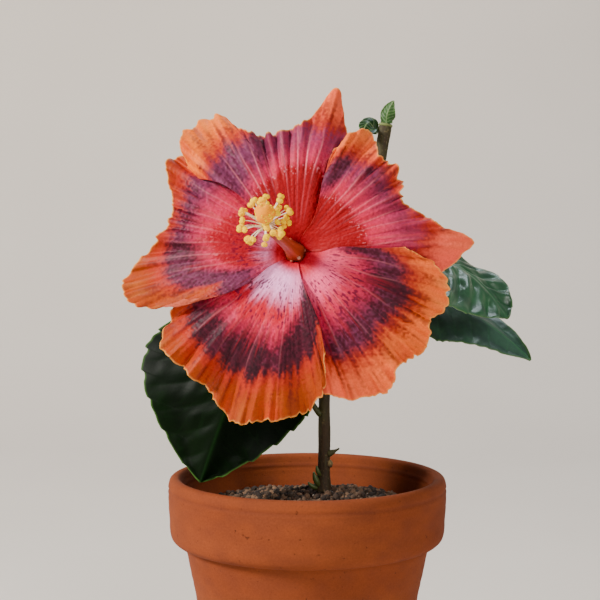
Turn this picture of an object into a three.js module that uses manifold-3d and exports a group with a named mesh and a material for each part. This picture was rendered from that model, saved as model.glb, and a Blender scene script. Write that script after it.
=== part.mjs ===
// A young hibiscus in a terracotta pot, carrying one wide open bloom.
// Millimetres, +Z up. The origin is the centre of the pot's underside, and -Y is the side the bloom faces.
import * as THREE from "three";
import { mergeVertices } from "three/addons/utils/BufferGeometryUtils.js";
import Module from "manifold-3d";

const wasm = await Module();
wasm.setup();

// ---- driving dimensions ----
const GAP = 0.35; // clearance between two pieces that touch on the real plant
const DEG = Math.PI / 180;

const POT_HEIGHT = 134.5;
const RIM_RADIUS = 75;
const RIM_HEIGHT = 35;
const BODY_RADIUS = 66; // outside, just under the rim band
const FOOT_RADIUS = 46.5;
const WALL = 7;
const FLOOR = 9;
const DRAIN_RADIUS = 4.5;
const DRAIN_CIRCLE = 21;
const DRAINS = 3;
const POT_SIDES = 48;

const SOIL_LEVEL = 115; // at the wall
const MOUND_HEIGHT = 10.3; // above that, at the stem
const MOUND_SPREAD = 41;
const SOIL_SIDES = 36;

const STEM_FOOT = new THREE.Vector3(8.8, 0, SOIL_LEVEL + MOUND_HEIGHT + GAP);
const STEM_BENDS = [
  new THREE.Vector3(9.4, 0, 152),
  new THREE.Vector3(9.6, 0, 180),
  new THREE.Vector3(13.6, 0.3, 212),
];
const FORK = new THREE.Vector3(22.5, 1, 240);
const SHOOT_BEND = new THREE.Vector3(36, 3.5, 288);
const SHOOT_TOP = new THREE.Vector3(42.3, 5.5, 323.5);
const ROOT_FLARE = 1.3; // radius at the soil over the radius of the stem above
const STEM_RADIUS = [3.2, 2.8]; // foot, fork
const SHOOT_RADIUS = [2.9, 3.1]; // fork, neck of the tip
const SHOOT_HEAD_RADIUS = 3.4; // the swollen end that carries the young leaves

const THROAT = new THREE.Vector3(-6.2, -70, 257); // centre of the open face of the bloom
const NOD = 9 * DEG; // the face looks up by this much
const TURN = 6 * DEG; // and to its left
const CLAW_RADIUS = 4.6; // where the petals start round the column
const CLAW_ANGLE = 32; // half the angle a petal takes up there
const FACE_RADIUS = 80;
const FUNNEL_DEPTH = 22;
const FUNNEL_SPREAD = 6;
const CROWN = 4; // how far the face bulges forward between throat and margin
const RECURVE = 11; // how far it falls back at its radius
const PETAL_THICKNESS = 1;
const PETAL_STEP = 3; // a petal's front edge stands this far forward and its back edge this far back
const FALL_BACK = 4; // the back corner of each petal droops behind its pointed ear

// The petals, clockwise from the top one. margin runs from the back corner to the front corner as
// [degrees from the middle of the petal, radius]. frontEdge is the angle of the edge that lies over the
// next petal, at even steps from throat to margin. lean brings the margin forward (+) or back (-).
const petalShapes = [
  {
    name: "petal_top",
    lean: -2,
    margin: [
      [-45, 57], [-32, 66], [-27, 77], [-23, 86], [-18, 71], [-11, 63],
      [0, 61], [12, 66], [20, 82], [28, 85], [36, 80], [44, 65],
    ],
    frontEdge: [33, 34, 36, 44],
  },
  {
    name: "petal_upper_right",
    lean: 1,
    margin: [
      [-43, 60], [-35, 72], [-29, 81], [-24, 86], [-19, 74], [-12, 64],
      [-3, 59], [9, 63], [22, 64], [31, 70], [37, 63], [41, 53],
    ],
    frontEdge: [27, 31, 39, 41],
  },
  {
    name: "petal_lower_right",
    lean: 0,
    margin: [
      [-41, 66], [-33, 72], [-26, 76], [-18, 80], [-11, 81], [-5, 75],
      [2, 78], [9, 78], [16, 74], [26, 76], [36, 72], [44, 54],
    ],
    frontEdge: [34, 46, 44, 44],
  },
  {
    name: "petal_bottom",
    lean: 1,
    margin: [
      [-43, 66], [-37, 72], [-31, 82], [-22, 80], [-13, 79], [-5, 82],
      [4, 90], [12, 85], [21, 82], [30, 76], [39, 66], [43, 52],
    ],
    frontEdge: [33, 42, 45, 43],
  },
  {
    name: "petal_left",
    lean: 1,
    margin: [
      [-43, 64], [-35, 73], [-28, 81], [-23, 75], [-16, 67], [-8, 64],
      [0, 67], [8, 77], [16, 90], [22, 88], [28, 75], [31, 61],
    ],
    frontEdge: [30, 43, 40, 31],
  },
];
const FIRST_PETAL_ANGLE = 100; // degrees, anticlockwise from the bloom's right
const PETAL_ANGLE = 360 / petalShapes.length;

const CALYX_LOBES = 5;
const BRACT_LOBES = 7;
const LOBE_SIDES = 4;
const CALYX_BASE = -49; // along the bloom's axis, behind the throat
const COLUMN_ROOT = -31;
const COLUMN_RADIUS = [3.4, 2.2];
const COLUMN_BEND = new THREE.Vector3(-3.1, 2.4, 12);
const COLUMN_TIP = new THREE.Vector3(-10.4, 8.2, 31);
const BRUSH_AXIS = new THREE.Vector3(0.08, 0.3, 0.95).normalize(); // the way the anthers and stigma point
const ANTHER_SPREAD = 13; // half width of the ball of anthers
const ANTHER_DEPTH = 6.5;
const STIGMA_RADIUS = 4.6;

// Leaves: where the petiole leaves the stem or shoot (a share of its length), the blade's base, bend and
// tip, the way its upper face looks, its half widths and how far each half folds back, left and right of the
// midrib for someone facing the upper face with the tip down, and the share of its length at the widest.
const leafShapes = [
  {
    name: "lower_left", limb: "stem", at: 0.36, base: [-19, -15, 222], bend: [-40, -34, 186],
    tip: [-55.3, -30, 136], face: [-0.12, -0.9, 0.42], half: [57, 42], fold: [4, 34], widest: 0.42,
  },
  {
    name: "right_upper", limb: "stem", at: 0.93, base: [46, -8, 246], bend: [80, -18, 263],
    tip: [104, -26, 221], face: [0.06, -0.5, 0.86], half: [46, 32], fold: [-18, 24], widest: 0.58,
  },
  {
    name: "right_lower", limb: "stem", at: 0.8, base: [50, 3, 229], bend: [86, 3, 234],
    tip: [118.6, -10, 197.6], face: [0.34, -0.66, 0.67], half: [27, 18], fold: [0, 22], widest: 0.45,
  },
  {
    name: "back_left", limb: "stem", at: 0.62, base: [-3, 27, 214], bend: [-24, 50, 232],
    tip: [-50, 66, 204], face: [-0.35, 0.35, 0.87], half: [27, 27], fold: [10, 10], widest: 0.4,
  },
  {
    name: "back_right", limb: "shoot", at: 0.3, base: [41, 28, 262], bend: [54, 48, 276],
    tip: [66, 72, 252], face: [0.25, 0.35, 0.9], half: [25, 25], fold: [10, 10], widest: 0.4,
  },
  {
    name: "back_high", limb: "shoot", at: 0.62, base: [21, 20, 292], bend: [6, 34, 302],
    tip: [-14, 50, 284], face: [-0.3, 0.35, 0.9], half: [21, 21], fold: [10, 10], widest: 0.4,
  },
];
const youngLeafShapes = [
  {
    name: "young_leaf_left", base: [37.4, 4, 318], bend: [32, 3, 331],
    tip: [29.4, -4, 316.5], face: [-0.25, -0.75, 0.6], half: [5.5, 7], fold: [20, 25], widest: 0.45,
  },
  {
    name: "young_leaf_tip", base: [43, 5.4, 324.8], bend: [42, 5, 330],
    tip: [46.6, 5, 336], face: [-0.3, -0.95, 0.1], half: [4.6, 4.6], fold: [25, 25], widest: 0.4,
  },
];
const LEAF_THICKNESS = 1;
const PETIOLE_RADIUS = 1.2;

// ---- materials ----
const finish = (color, roughness) => new THREE.MeshStandardMaterial({ color, roughness, metalness: 0 });
const terracotta = finish(0xb5633a, 0.8);
const pottingSoil = finish(0x2e211a, 0.95);
const bark = finish(0x4a4029, 0.75);
const greenBark = finish(0x5c6b34, 0.6);
const leafGreen = finish(0x1d4a24, 0.4);
const youngLeafGreen = finish(0x5b7c3f, 0.5);
const petalRed = finish(0xb8323a, 0.6);
const columnSalmon = finish(0xc05a3c, 0.5);
const antherYellow = finish(0xe9c437, 0.6);
const stigmaOrange = finish(0xf3a51d, 0.5);

// ---- helpers ----
const { clamp, lerp, smoothstep } = THREE.MathUtils;
const vector = (p) => new THREE.Vector3(...p);
const swell = (x, spread) => Math.exp(-((x / spread) ** 2));

/** Moves every vertex of a geometry to move(x, y, z), and rebuilds its normals. */
function reshape(geometry, move) {
  const position = geometry.getAttribute("position");
  for (let i = 0; i < position.count; i++) {
    const p = move(position.getX(i), position.getY(i), position.getZ(i));
    position.setXYZ(i, p.x, p.y, p.z);
  }
  geometry.computeVertexNormals();
  return geometry;
}

/** A thin closed blade over surface(u, v), u and v from 0 to 1: a flat box bent onto it. */
function bladeGeometry(surface, across, along, thickness) {
  const small = 1e-3;
  return reshape(new THREE.BoxGeometry(1, 1, 1, across, along, 1), (x, y, z) => {
    const u = x + 0.5;
    const v = y + 0.5;
    const centre = surface(u, v);
    const du = surface(Math.min(u + small, 1), v).sub(surface(Math.max(u - small, 0), v));
    const dv = surface(u, Math.min(v + small, 1)).sub(surface(u, Math.max(v - small, 0)));
    return centre.addScaledVector(du.cross(dv).normalize(), z * thickness);
  });
}

/** A closed tapering limb along a curve: a capped cylinder bent onto it. radiusAt takes the share along. */
function limbGeometry(curve, radiusAt, steps, sides) {
  const frames = curve.computeFrenetFrames(steps, false);
  return reshape(new THREE.CylinderGeometry(1, 1, 1, sides, steps), (x, y, z) => {
    const share = clamp(y + 0.5, 0, 1);
    const i = Math.round(share * steps);
    const radius = radiusAt(share);
    return curve
      .getPointAt(share)
      .addScaledVector(frames.normals[i], x * radius)
      .addScaledVector(frames.binormals[i], -z * radius);
  });
}

/** A turned shape about +Z, from [radius, height] pairs going up the outside. */
function turnedGeometry(profile, sides) {
  const points = profile.map(([r, h]) => new THREE.Vector2(r, h));
  return new THREE.LatheGeometry(points, sides).rotateX(Math.PI / 2);
}

function solidOf(geometry) {
  const bare = geometry.clone();
  bare.deleteAttribute("normal");
  bare.deleteAttribute("uv");
  const merged = mergeVertices(bare, 1e-3);
  return new wasm.Manifold(
    new wasm.Mesh({
      numProp: 3,
      vertProperties: merged.getAttribute("position").array,
      triVerts: new Uint32Array(merged.index.array),
    }),
  );
}

function geometryOf(solid) {
  const mesh = solid.getMesh();
  const geometry = new THREE.BufferGeometry();
  geometry.setAttribute("position", new THREE.BufferAttribute(mesh.vertProperties, 3));
  geometry.setIndex(new THREE.BufferAttribute(mesh.triVerts, 1));
  geometry.computeVertexNormals();
  return geometry;
}

function named(name, geometry, material) {
  const mesh = new THREE.Mesh(geometry, material);
  mesh.name = name;
  return mesh;
}

// ---- pot and soil ----
function potGeometry() {
  const bandFoot = POT_HEIGHT - RIM_HEIGHT;
  const inside = RIM_RADIUS - WALL;
  const body = turnedGeometry(
    [
      [0, 0],
      [FOOT_RADIUS - 2, 0],
      [FOOT_RADIUS, 2],
      [BODY_RADIUS, bandFoot - 0.5],
      [RIM_RADIUS - 4.5, bandFoot],
      [RIM_RADIUS - 1.8, bandFoot + 2.2],
      [RIM_RADIUS - 0.8, bandFoot + 6],
      [RIM_RADIUS, POT_HEIGHT - 4],
      [RIM_RADIUS - 0.8, POT_HEIGHT - 1.2],
      [RIM_RADIUS - 2.6, POT_HEIGHT],
      [inside + 2, POT_HEIGHT],
      [inside + 0.5, POT_HEIGHT - 1],
      [inside, POT_HEIGHT - 3],
      [FOOT_RADIUS - WALL + 1.5, FLOOR + 2],
      [FOOT_RADIUS - WALL - 1, FLOOR],
      [0, FLOOR],
    ],
    POT_SIDES,
  );
  let pot = solidOf(body);
  for (let i = 0; i < DRAINS; i++) {
    const angle = (i / DRAINS) * 2 * Math.PI;
    const drain = new THREE.CylinderGeometry(DRAIN_RADIUS, DRAIN_RADIUS, 3 * FLOOR, 12)
      .rotateX(Math.PI / 2)
      .translate(DRAIN_CIRCLE * Math.cos(angle), DRAIN_CIRCLE * Math.sin(angle), FLOOR / 2);
    pot = pot.subtract(solidOf(drain));
  }
  return geometryOf(pot);
}

/** The inside radius of the pot's wall at a height, less the gap. */
function insideAt(height) {
  const low = FLOOR + 2;
  const share = (height - low) / (POT_HEIGHT - 3 - low);
  return lerp(FOOT_RADIUS - WALL + 1.5, RIM_RADIUS - WALL, share) * Math.cos(Math.PI / POT_SIDES) - GAP;
}

function soilGeometry() {
  const floor = FLOOR + GAP;
  const rings = [0.8, 0.55, 0.36, 0.2];
  const profile = [
    [0, floor],
    [FOOT_RADIUS - WALL - 2, floor],
    [insideAt(FLOOR + 3), FLOOR + 3],
    [insideAt(SOIL_LEVEL), SOIL_LEVEL],
    ...rings.map((share) => [share * insideAt(SOIL_LEVEL), SOIL_LEVEL]),
    [0, SOIL_LEVEL],
  ];
  return reshape(turnedGeometry(profile, SOIL_SIDES), (x, y, z) => {
    const away = Math.hypot(x - STEM_FOOT.x, y - STEM_FOOT.y);
    const mound = z > SOIL_LEVEL - 1 && Math.hypot(x, y) < 0.9 * insideAt(SOIL_LEVEL)
      ? MOUND_HEIGHT * swell(away, MOUND_SPREAD)
      : 0;
    return new THREE.Vector3(x, y, z + mound);
  });
}

// ---- stem, shoot, petioles and leaves ----
const stemCurve = new THREE.CatmullRomCurve3([STEM_FOOT, ...STEM_BENDS, FORK.clone().setZ(FORK.z - GAP)]);
const shootCurve = new THREE.CatmullRomCurve3([FORK, SHOOT_BEND, SHOOT_TOP]);

function stemRadius(share) {
  const flare = 1 + (ROOT_FLARE - 1) * swell(share, 0.07);
  return lerp(...STEM_RADIUS, share) * flare;
}

function shootRadius(share) {
  return lerp(...SHOOT_RADIUS, share) + (SHOOT_HEAD_RADIUS - SHOOT_RADIUS[1]) * smoothstep(share, 0.75, 1);
}

/** Half width of a hibiscus leaf, as a share of its widest, at a share of its length. */
function leafOutline(share, widest) {
  const warp = Math.log(0.5) / Math.log(widest);
  return Math.max(0.045, Math.sin(Math.PI * clamp(share, 0, 1) ** warp) ** 0.75);
}

/** The blade: its midrib is a curve, and each half leans back from the face by its fold. */
function leafSurface({ base, bend, tip, face, half, fold, widest }) {
  const midrib = new THREE.QuadraticBezierCurve3(vector(base), vector(bend), vector(tip));
  const towards = vector(face).normalize();
  return (u, v) => {
    const along = midrib.getTangent(v);
    const side = towards.clone().cross(along).normalize();
    const up = along.clone().cross(side).normalize();
    const s = 2 * u - 1;
    const k = s < 0 ? 0 : 1;
    const reach = Math.abs(s) * half[k] * leafOutline(v, widest);
    const lean = fold[k] * DEG;
    return midrib
      .getPoint(v)
      .addScaledVector(side, Math.sign(s) * reach * Math.cos(lean))
      .addScaledVector(up, -reach * Math.sin(lean));
  };
}

function leafMesh(name, shape, across, along, material) {
  return named(name, bladeGeometry(leafSurface(shape), across, along, LEAF_THICKNESS), material);
}

/** A petiole from the side of its limb to just short of its blade. */
function petioleGeometry({ limb, at, base, bend }) {
  const onStem = limb === "stem";
  const axis = (onStem ? stemCurve : shootCurve).getPointAt(at);
  const radius = (onStem ? stemRadius : shootRadius)(at);
  const blade = vector(base);
  const out = blade.clone().sub(axis).setZ(0).normalize();
  const start = axis.clone().addScaledVector(out, radius + PETIOLE_RADIUS + GAP);
  const arrival = vector(bend).sub(blade).normalize();
  const end = blade.clone().addScaledVector(arrival, -2 * GAP);
  const reach = start.distanceTo(end) / 3;
  const leave = out.clone().multiplyScalar(0.75).add(new THREE.Vector3(0, 0, 0.66));
  const curve = new THREE.CubicBezierCurve3(
    start,
    start.clone().addScaledVector(leave, reach),
    end.clone().addScaledVector(arrival, -reach),
    end,
  );
  return limbGeometry(curve, () => PETIOLE_RADIUS, 8, 7);
}

// ---- the bloom, in its own frame: +X its right, +Y its top, +Z out of its face ----
/** How far forward the face stands at an angle and a radius: one surface shared by all the petals. */
function faceDepth(angle, radius) {
  const out = radius / FACE_RADIUS;
  const funnel = -FUNNEL_DEPTH * Math.exp(-(radius - CLAW_RADIUS) / FUNNEL_SPREAD);
  const bowl = CROWN * Math.sin(Math.PI * Math.min(1, 1.15 * out)) - RECURVE * out ** 4;
  const a = angle * DEG;
  const waves = 1.8 * Math.sin(5 * a + 0.6) + 1.5 * Math.sin(8 * a + 2.1) + 1.1 * Math.sin(13 * a);
  return funnel + bowl + waves * out ** 2.2;
}

const splineThrough = (points) => new THREE.SplineCurve(points.map(([x, y]) => new THREE.Vector2(x, y)));

function petalSurface({ margin, frontEdge, lean }, index) {
  const middle = FIRST_PETAL_ANGLE - PETAL_ANGLE * index;
  const marginCurve = splineThrough(margin);
  const frontCurve = splineThrough(frontEdge.map((angle, i) => [i, angle]));
  const backCorner = margin[0][0];
  const frontCorner = margin.at(-1)[0];
  return (u, t) => {
    const atMargin = marginCurve.getPoint(u);
    const opened = smoothstep(t, 0.04, 0.3);
    const back = lerp(-CLAW_ANGLE, backCorner, opened);
    const front = lerp(CLAW_ANGLE, frontCurve.getPoint(t).y, opened);
    const share = lerp(u, (atMargin.x - backCorner) / (frontCorner - backCorner), smoothstep(t, 0.1, 0.9));
    const offset = lerp(back, front, share);
    const angle = middle + offset;
    const radius = lerp(CLAW_RADIUS, atMargin.y, t);
    const step = PETAL_STEP * (2 * share - 1) * smoothstep(t, 0, 0.22);
    const own = lean * t ** 2 - FALL_BACK * smoothstep(-offset, 24, 44) * t ** 2;
    const depth = faceDepth(angle, radius) + step + own;
    return new THREE.Vector3(radius * Math.cos(angle * DEG), radius * Math.sin(angle * DEG), depth);
  };
}

/** A turned cup whose lip is drawn out into pointed lobes. */
function lobedCup(profile, lobes, reach, from) {
  return reshape(turnedGeometry(profile, LOBE_SIDES * lobes), (x, y, z) => {
    const angle = Math.atan2(y, x);
    const rise = reach * clamp((z - from) / 8, 0, 1) * Math.cos(lobes * angle);
    return new THREE.Vector3(x, y, z + rise);
  });
}

function calyxGeometry() {
  const base = CALYX_BASE;
  const profile = [
    [0, base], [3.8, base], [7.6, base + 5], [9, base + 13], [10.6, base + 22], [14.4, base + 29],
    [13.6, base + 30], [9.6, base + 22.6], [7.8, base + 14.6], [0, base + 13],
  ];
  return lobedCup(profile, CALYX_LOBES, 4, base + 20);
}

function bractGeometry() {
  const base = CALYX_BASE - GAP;
  const profile = [
    [2.3, base - 1.2], [5, base - 1.2], [13.2, base + 7], [12.6, base + 8], [4.7, base], [2.3, base],
    [2.3, base - 1.2],
  ];
  return lobedCup(profile, BRACT_LOBES, 3, base + 3);
}

const turnToBrush = new THREE.Quaternion().setFromUnitVectors(new THREE.Vector3(0, 0, 1), BRUSH_AXIS);
const beyondColumn = (distance) => COLUMN_TIP.clone().addScaledVector(BRUSH_AXIS, distance);

function antherGeometry() {
  return reshape(new THREE.SphereGeometry(1, 16, 8).rotateX(Math.PI / 2), (x, y, z) => {
    const angle = Math.atan2(y, x);
    const uneven = 1 + 0.1 * (1 - z * z) * Math.sin(5 * angle) * Math.cos(3 * z + 1);
    return new THREE.Vector3(x, y, z * (ANTHER_DEPTH / ANTHER_SPREAD))
      .multiplyScalar(ANTHER_SPREAD * uneven)
      .applyQuaternion(turnToBrush)
      .add(beyondColumn(ANTHER_DEPTH + 2 * GAP));
  });
}

function stigmaGeometry() {
  const away = 2 * ANTHER_DEPTH + 3 * GAP + STIGMA_RADIUS;
  return new THREE.SphereGeometry(STIGMA_RADIUS, 12, 8)
    .applyQuaternion(turnToBrush)
    .translate(...beyondColumn(away).toArray());
}

function bloom() {
  const group = new THREE.Group();
  petalShapes.forEach((shape, index) => {
    const surface = petalSurface(shape, index);
    const blade = bladeGeometry(surface, shape.margin.length - 1, 9, PETAL_THICKNESS);
    group.add(named(shape.name, blade, petalRed));
  });
  const columnCurve = new THREE.CatmullRomCurve3([
    new THREE.Vector3(0, 0, COLUMN_ROOT), new THREE.Vector3(0, 0, -12), COLUMN_BEND, COLUMN_TIP,
  ]);
  const columnShape = limbGeometry(columnCurve, (share) => lerp(...COLUMN_RADIUS, share), 10, 10);
  group.add(named("stamen_column", columnShape, columnSalmon));
  group.add(named("anther_cluster", antherGeometry(), antherYellow));
  group.add(named("stigma", stigmaGeometry(), stigmaOrange));
  group.add(named("calyx", calyxGeometry(), greenBark));
  group.add(named("bract_ring", bractGeometry(), greenBark));
  group.rotation.set(-NOD, -TURN, 0);
  const facing = new THREE.Group();
  facing.add(group);
  facing.rotation.x = Math.PI / 2;
  facing.position.copy(THROAT);
  facing.updateMatrixWorld(true);
  return { facing, group };
}

/** The stalk, from the side of the stem under the fork to the foot of the calyx. */
function stalkGeometry(toWorld) {
  const at = 0.97;
  const axis = stemCurve.getPointAt(at);
  const end = new THREE.Vector3(0, 0, CALYX_BASE - GAP).applyMatrix4(toWorld);
  const behind = new THREE.Vector3(0, 0, CALYX_BASE - 12).applyMatrix4(toWorld);
  const out = end.clone().sub(axis).setZ(0).normalize();
  const start = axis.clone().addScaledVector(out, stemRadius(at) + 2 * GAP);
  const curve = new THREE.CubicBezierCurve3(start, start.clone().addScaledVector(out, 9), behind, end);
  return limbGeometry(curve, (share) => lerp(1.7, 1.9, share), 8, 8);
}

// ---- assembly ----
const plant = new THREE.Group();
plant.add(named("pot", potGeometry(), terracotta));
plant.add(named("soil", soilGeometry(), pottingSoil));
plant.add(named("main_stem", limbGeometry(stemCurve, stemRadius, 16, 10), bark));
plant.add(named("upper_shoot", limbGeometry(shootCurve, shootRadius, 10, 10), bark));
const { facing, group } = bloom();
plant.add(facing);
plant.add(named("flower_stalk", stalkGeometry(group.matrixWorld), greenBark));
for (const shape of leafShapes) {
  plant.add(leafMesh(`leaf_${shape.name}`, shape, 8, 10, leafGreen));
  plant.add(named(`petiole_${shape.name}`, petioleGeometry(shape), greenBark));
}
for (const shape of youngLeafShapes) {
  plant.add(leafMesh(shape.name, shape, 6, 6, youngLeafGreen));
}

export default plant;
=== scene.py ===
from math import cos, pi, radians, sin

import bpy
import numpy as np
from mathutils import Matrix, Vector


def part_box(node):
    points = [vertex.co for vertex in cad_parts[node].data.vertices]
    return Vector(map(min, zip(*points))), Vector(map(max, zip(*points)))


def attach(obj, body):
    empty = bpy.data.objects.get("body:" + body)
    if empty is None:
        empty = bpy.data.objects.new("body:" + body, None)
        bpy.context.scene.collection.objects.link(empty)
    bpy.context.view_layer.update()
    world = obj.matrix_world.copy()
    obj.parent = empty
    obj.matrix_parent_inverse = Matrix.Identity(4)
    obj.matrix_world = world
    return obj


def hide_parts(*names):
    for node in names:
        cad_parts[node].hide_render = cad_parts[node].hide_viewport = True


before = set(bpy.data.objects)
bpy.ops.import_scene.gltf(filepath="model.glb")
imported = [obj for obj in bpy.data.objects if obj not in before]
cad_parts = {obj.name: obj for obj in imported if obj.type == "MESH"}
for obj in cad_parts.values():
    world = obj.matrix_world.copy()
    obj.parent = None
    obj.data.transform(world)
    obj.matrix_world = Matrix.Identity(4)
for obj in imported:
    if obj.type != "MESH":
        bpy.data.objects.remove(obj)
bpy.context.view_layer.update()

# A young hibiscus in a terracotta pot. Shapes are worked out in design millimetres from the centre of the
# pot's foot, and put() turns them into metres in the frame: the pot is POT_WIDTH across its rim.
POT_LOW, POT_HIGH = (np.array(corner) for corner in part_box("pot"))
POT_WIDTH = 150.0
MM = (POT_HIGH[0] - POT_LOW[0]) / POT_WIDTH
FOOT = np.array([(POT_LOW[0] + POT_HIGH[0]) / 2, (POT_LOW[1] + POT_HIGH[1]) / 2, POT_LOW[2]])
DEGREES_PER_RADIAN = 57.3


def put(points):
    """Design millimetres to metres in the frame: scaled by MM and moved to the pot's foot."""
    return np.asarray(points) * MM + FOOT


# ---- arithmetic ----
def lerp(a, b, share):
    """a at share 0, b at share 1."""
    return a + (b - a) * share


def smooth(x, low, high):
    """0 below low, 1 above high, and 3x^2 - 2x^3 of the share between."""
    share = np.clip((x - low) / (high - low), 0, 1)
    return share * share * (3 - 2 * share)


def bell(x, spread):
    """exp of minus the square of x over spread."""
    return np.exp(-((x / spread) ** 2))


def unit(v):
    """v over its own length, along the last axis."""
    return v / np.maximum(np.linalg.norm(v, axis=-1, keepdims=True), 1e-12)


def noise(x, y, seed, turn=251):
    """Smooth noise from -1 to 1: random heights on a whole-number lattice, blended with smoothstep. It
    repeats after turn columns, so that it can run right round a ring."""
    table = np.random.default_rng(seed).uniform(-1, 1, (turn, 241))
    x, y = np.broadcast_arrays(np.asarray(x, float), np.asarray(y, float))
    column, row = np.floor(x).astype(int), np.floor(y).astype(int)
    fx, fy = smooth(x - column, 0, 1), smooth(y - row, 0, 1)
    low = lerp(table[column % turn, row % 241], table[(column + 1) % turn, row % 241], fx)
    high = lerp(table[column % turn, (row + 1) % 241], table[(column + 1) % turn, (row + 1) % 241], fx)
    return lerp(low, high, fy)


def ring_noise(angle, waves, y, seed):
    """Noise that runs right round a ring, with waves lattice steps in the whole turn."""
    return noise(angle * waves / (2 * pi), y, seed, turn=waves)


def polar(radius, angle, height):
    """Points at that radius and angle round +Z, and at that height."""
    return np.stack(np.broadcast_arrays(radius * np.cos(angle), radius * np.sin(angle), height), -1)


def spline(points, share):
    """Catmull-Rom curve through points, evenly spaced in share from 0 to 1."""
    points = np.asarray(points, float)
    place = np.clip(share, 0, 1) * (len(points) - 1)
    i = np.minimum(np.floor(place).astype(int), len(points) - 2)
    w = (place - i)[..., None]
    p0, p1 = points[np.maximum(i - 1, 0)], points[i]
    p2, p3 = points[i + 1], points[np.minimum(i + 2, len(points) - 1)]
    v0, v1 = (p2 - p0) / 2, (p3 - p1) / 2
    return (2 * p1 - 2 * p2 + v0 + v1) * w**3 + (3 * p2 - 3 * p1 - 2 * v0 - v1) * w**2 + v0 * w + p1


def bezier(points, share):
    """The Bezier curve of three or four points: neighbours blended by share until one is left."""
    points = [np.asarray(p, float) for p in points]
    share = np.asarray(share)[..., None]
    while len(points) > 1:
        points = [lerp(a, b, share) for a, b in zip(points, points[1:])]
    return points[0]


def evenly(line, count):
    """count places along a line of points, evenly spaced by length."""
    run = np.concatenate([[0], np.cumsum(np.linalg.norm(np.diff(line, axis=0), axis=1))])
    at = np.linspace(0, run[-1], count)
    return np.stack([np.interp(at, run, line[:, k]) for k in range(line.shape[1])], -1)


def rounded(corners, radius):
    """A line of points through corners, each inner corner cut back by up to radius and bent round."""
    corners = np.asarray(corners, float)
    steps = np.linspace(0, 1, 7)
    line = [corners[:1]]
    for before, here, after in zip(corners, corners[1:], corners[2:]):
        lengths = np.linalg.norm(before - here), np.linalg.norm(after - here)
        cut = [min(radius, 0.45 * length) for length in lengths]
        start = here + (before - here) * cut[0] / lengths[0]
        end = here + (after - here) * cut[1] / lengths[1]
        line.append(bezier([start, here, end], steps))
    return np.concatenate(line + [corners[-1:]])


def colour(code):
    """A web colour code as linear red, green and blue."""
    srgb = np.array([int(code[i : i + 2], 16) for i in (1, 3, 5)]) / 255
    return np.where(srgb <= 0.04045, srgb / 12.92, ((srgb + 0.055) / 1.055) ** 2.4)


def blend(base, top, weight):
    """base covered by top where weight is 1. Colours run along the last axis."""
    return base + (top - base) * np.clip(weight, 0, 1)[..., None]


# ---- meshes ----
def new_object(name, data):
    """An object that shows data, in the scene."""
    made = bpy.data.objects.new(name, data)
    bpy.context.scene.collection.objects.link(made)
    return made


def add_mesh(name, points, faces, material, tint=None, uv=None):
    """An object in the frame from points in design millimetres. faces is a list of whole-number arrays,
    each row one face. tint gives each point a colour, and uv gives it its place on the OFBake map."""
    mesh = bpy.data.meshes.new(name)
    corners = np.concatenate([f.ravel() for f in faces]).astype(np.int32)
    counts = np.concatenate([np.full(len(f), f.shape[1]) for f in faces])
    mesh.vertices.add(len(points))
    mesh.vertices.foreach_set("co", put(points).astype(np.float32).ravel())
    mesh.loops.add(len(corners))
    mesh.loops.foreach_set("vertex_index", corners)
    mesh.polygons.add(len(counts))
    mesh.polygons.foreach_set("loop_start", np.concatenate([[0], np.cumsum(counts)[:-1]]).astype(np.int32))
    mesh.update(calc_edges=True)
    mesh.polygons.foreach_set("use_smooth", np.ones(len(counts), bool))
    if tint is not None:
        layer = mesh.color_attributes.new("tint", "FLOAT_COLOR", "POINT")
        rgba = np.concatenate([np.clip(tint, 0, 1), np.ones((len(points), 1))], 1)
        layer.data.foreach_set("color", rgba.astype(np.float32).ravel())
    if uv is not None:
        layer = mesh.uv_layers.new(name="OFBake")
        layer.data.foreach_set("uv", uv[corners].astype(np.float32).ravel())
    mesh.materials.append(material)
    return new_object(name, mesh)


def grid_faces(rows, columns, wrap=False):
    """Quads of a rows by columns grid of points, numbered row by row, joined round when wrap is true."""
    r = np.arange(rows - 1)[:, None]
    c = np.arange(columns if wrap else columns - 1)[None, :]
    nxt = (c + 1) % columns
    quads = [r * columns + c, (r + 1) * columns + c, (r + 1) * columns + nxt, r * columns + nxt]
    return np.stack(quads, -1).reshape(-1, 4)


def shell_faces(rows, columns):
    """A closed thin shell: the front grid, the back grid turned round, and a strip along each of the four
    edges."""
    front = grid_faces(rows, columns)
    back = front[:, ::-1] + rows * columns
    r, c = np.arange(rows), np.arange(columns)
    last = (rows - 1) * columns
    rim = np.concatenate([c, r[1:] * columns + columns - 1, last + c[-2::-1], r[-2:0:-1] * columns])
    nxt = np.roll(rim, -1)
    strip = np.stack([rim, nxt, nxt + rows * columns, rim + rows * columns], -1)
    return [front, back, strip]


def surface_normals(points):
    """Unit normals of a grid of points: the slope from row to row crossed with the slope along the row."""
    return unit(np.cross(np.gradient(points, axis=0), np.gradient(points, axis=1)))


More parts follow.
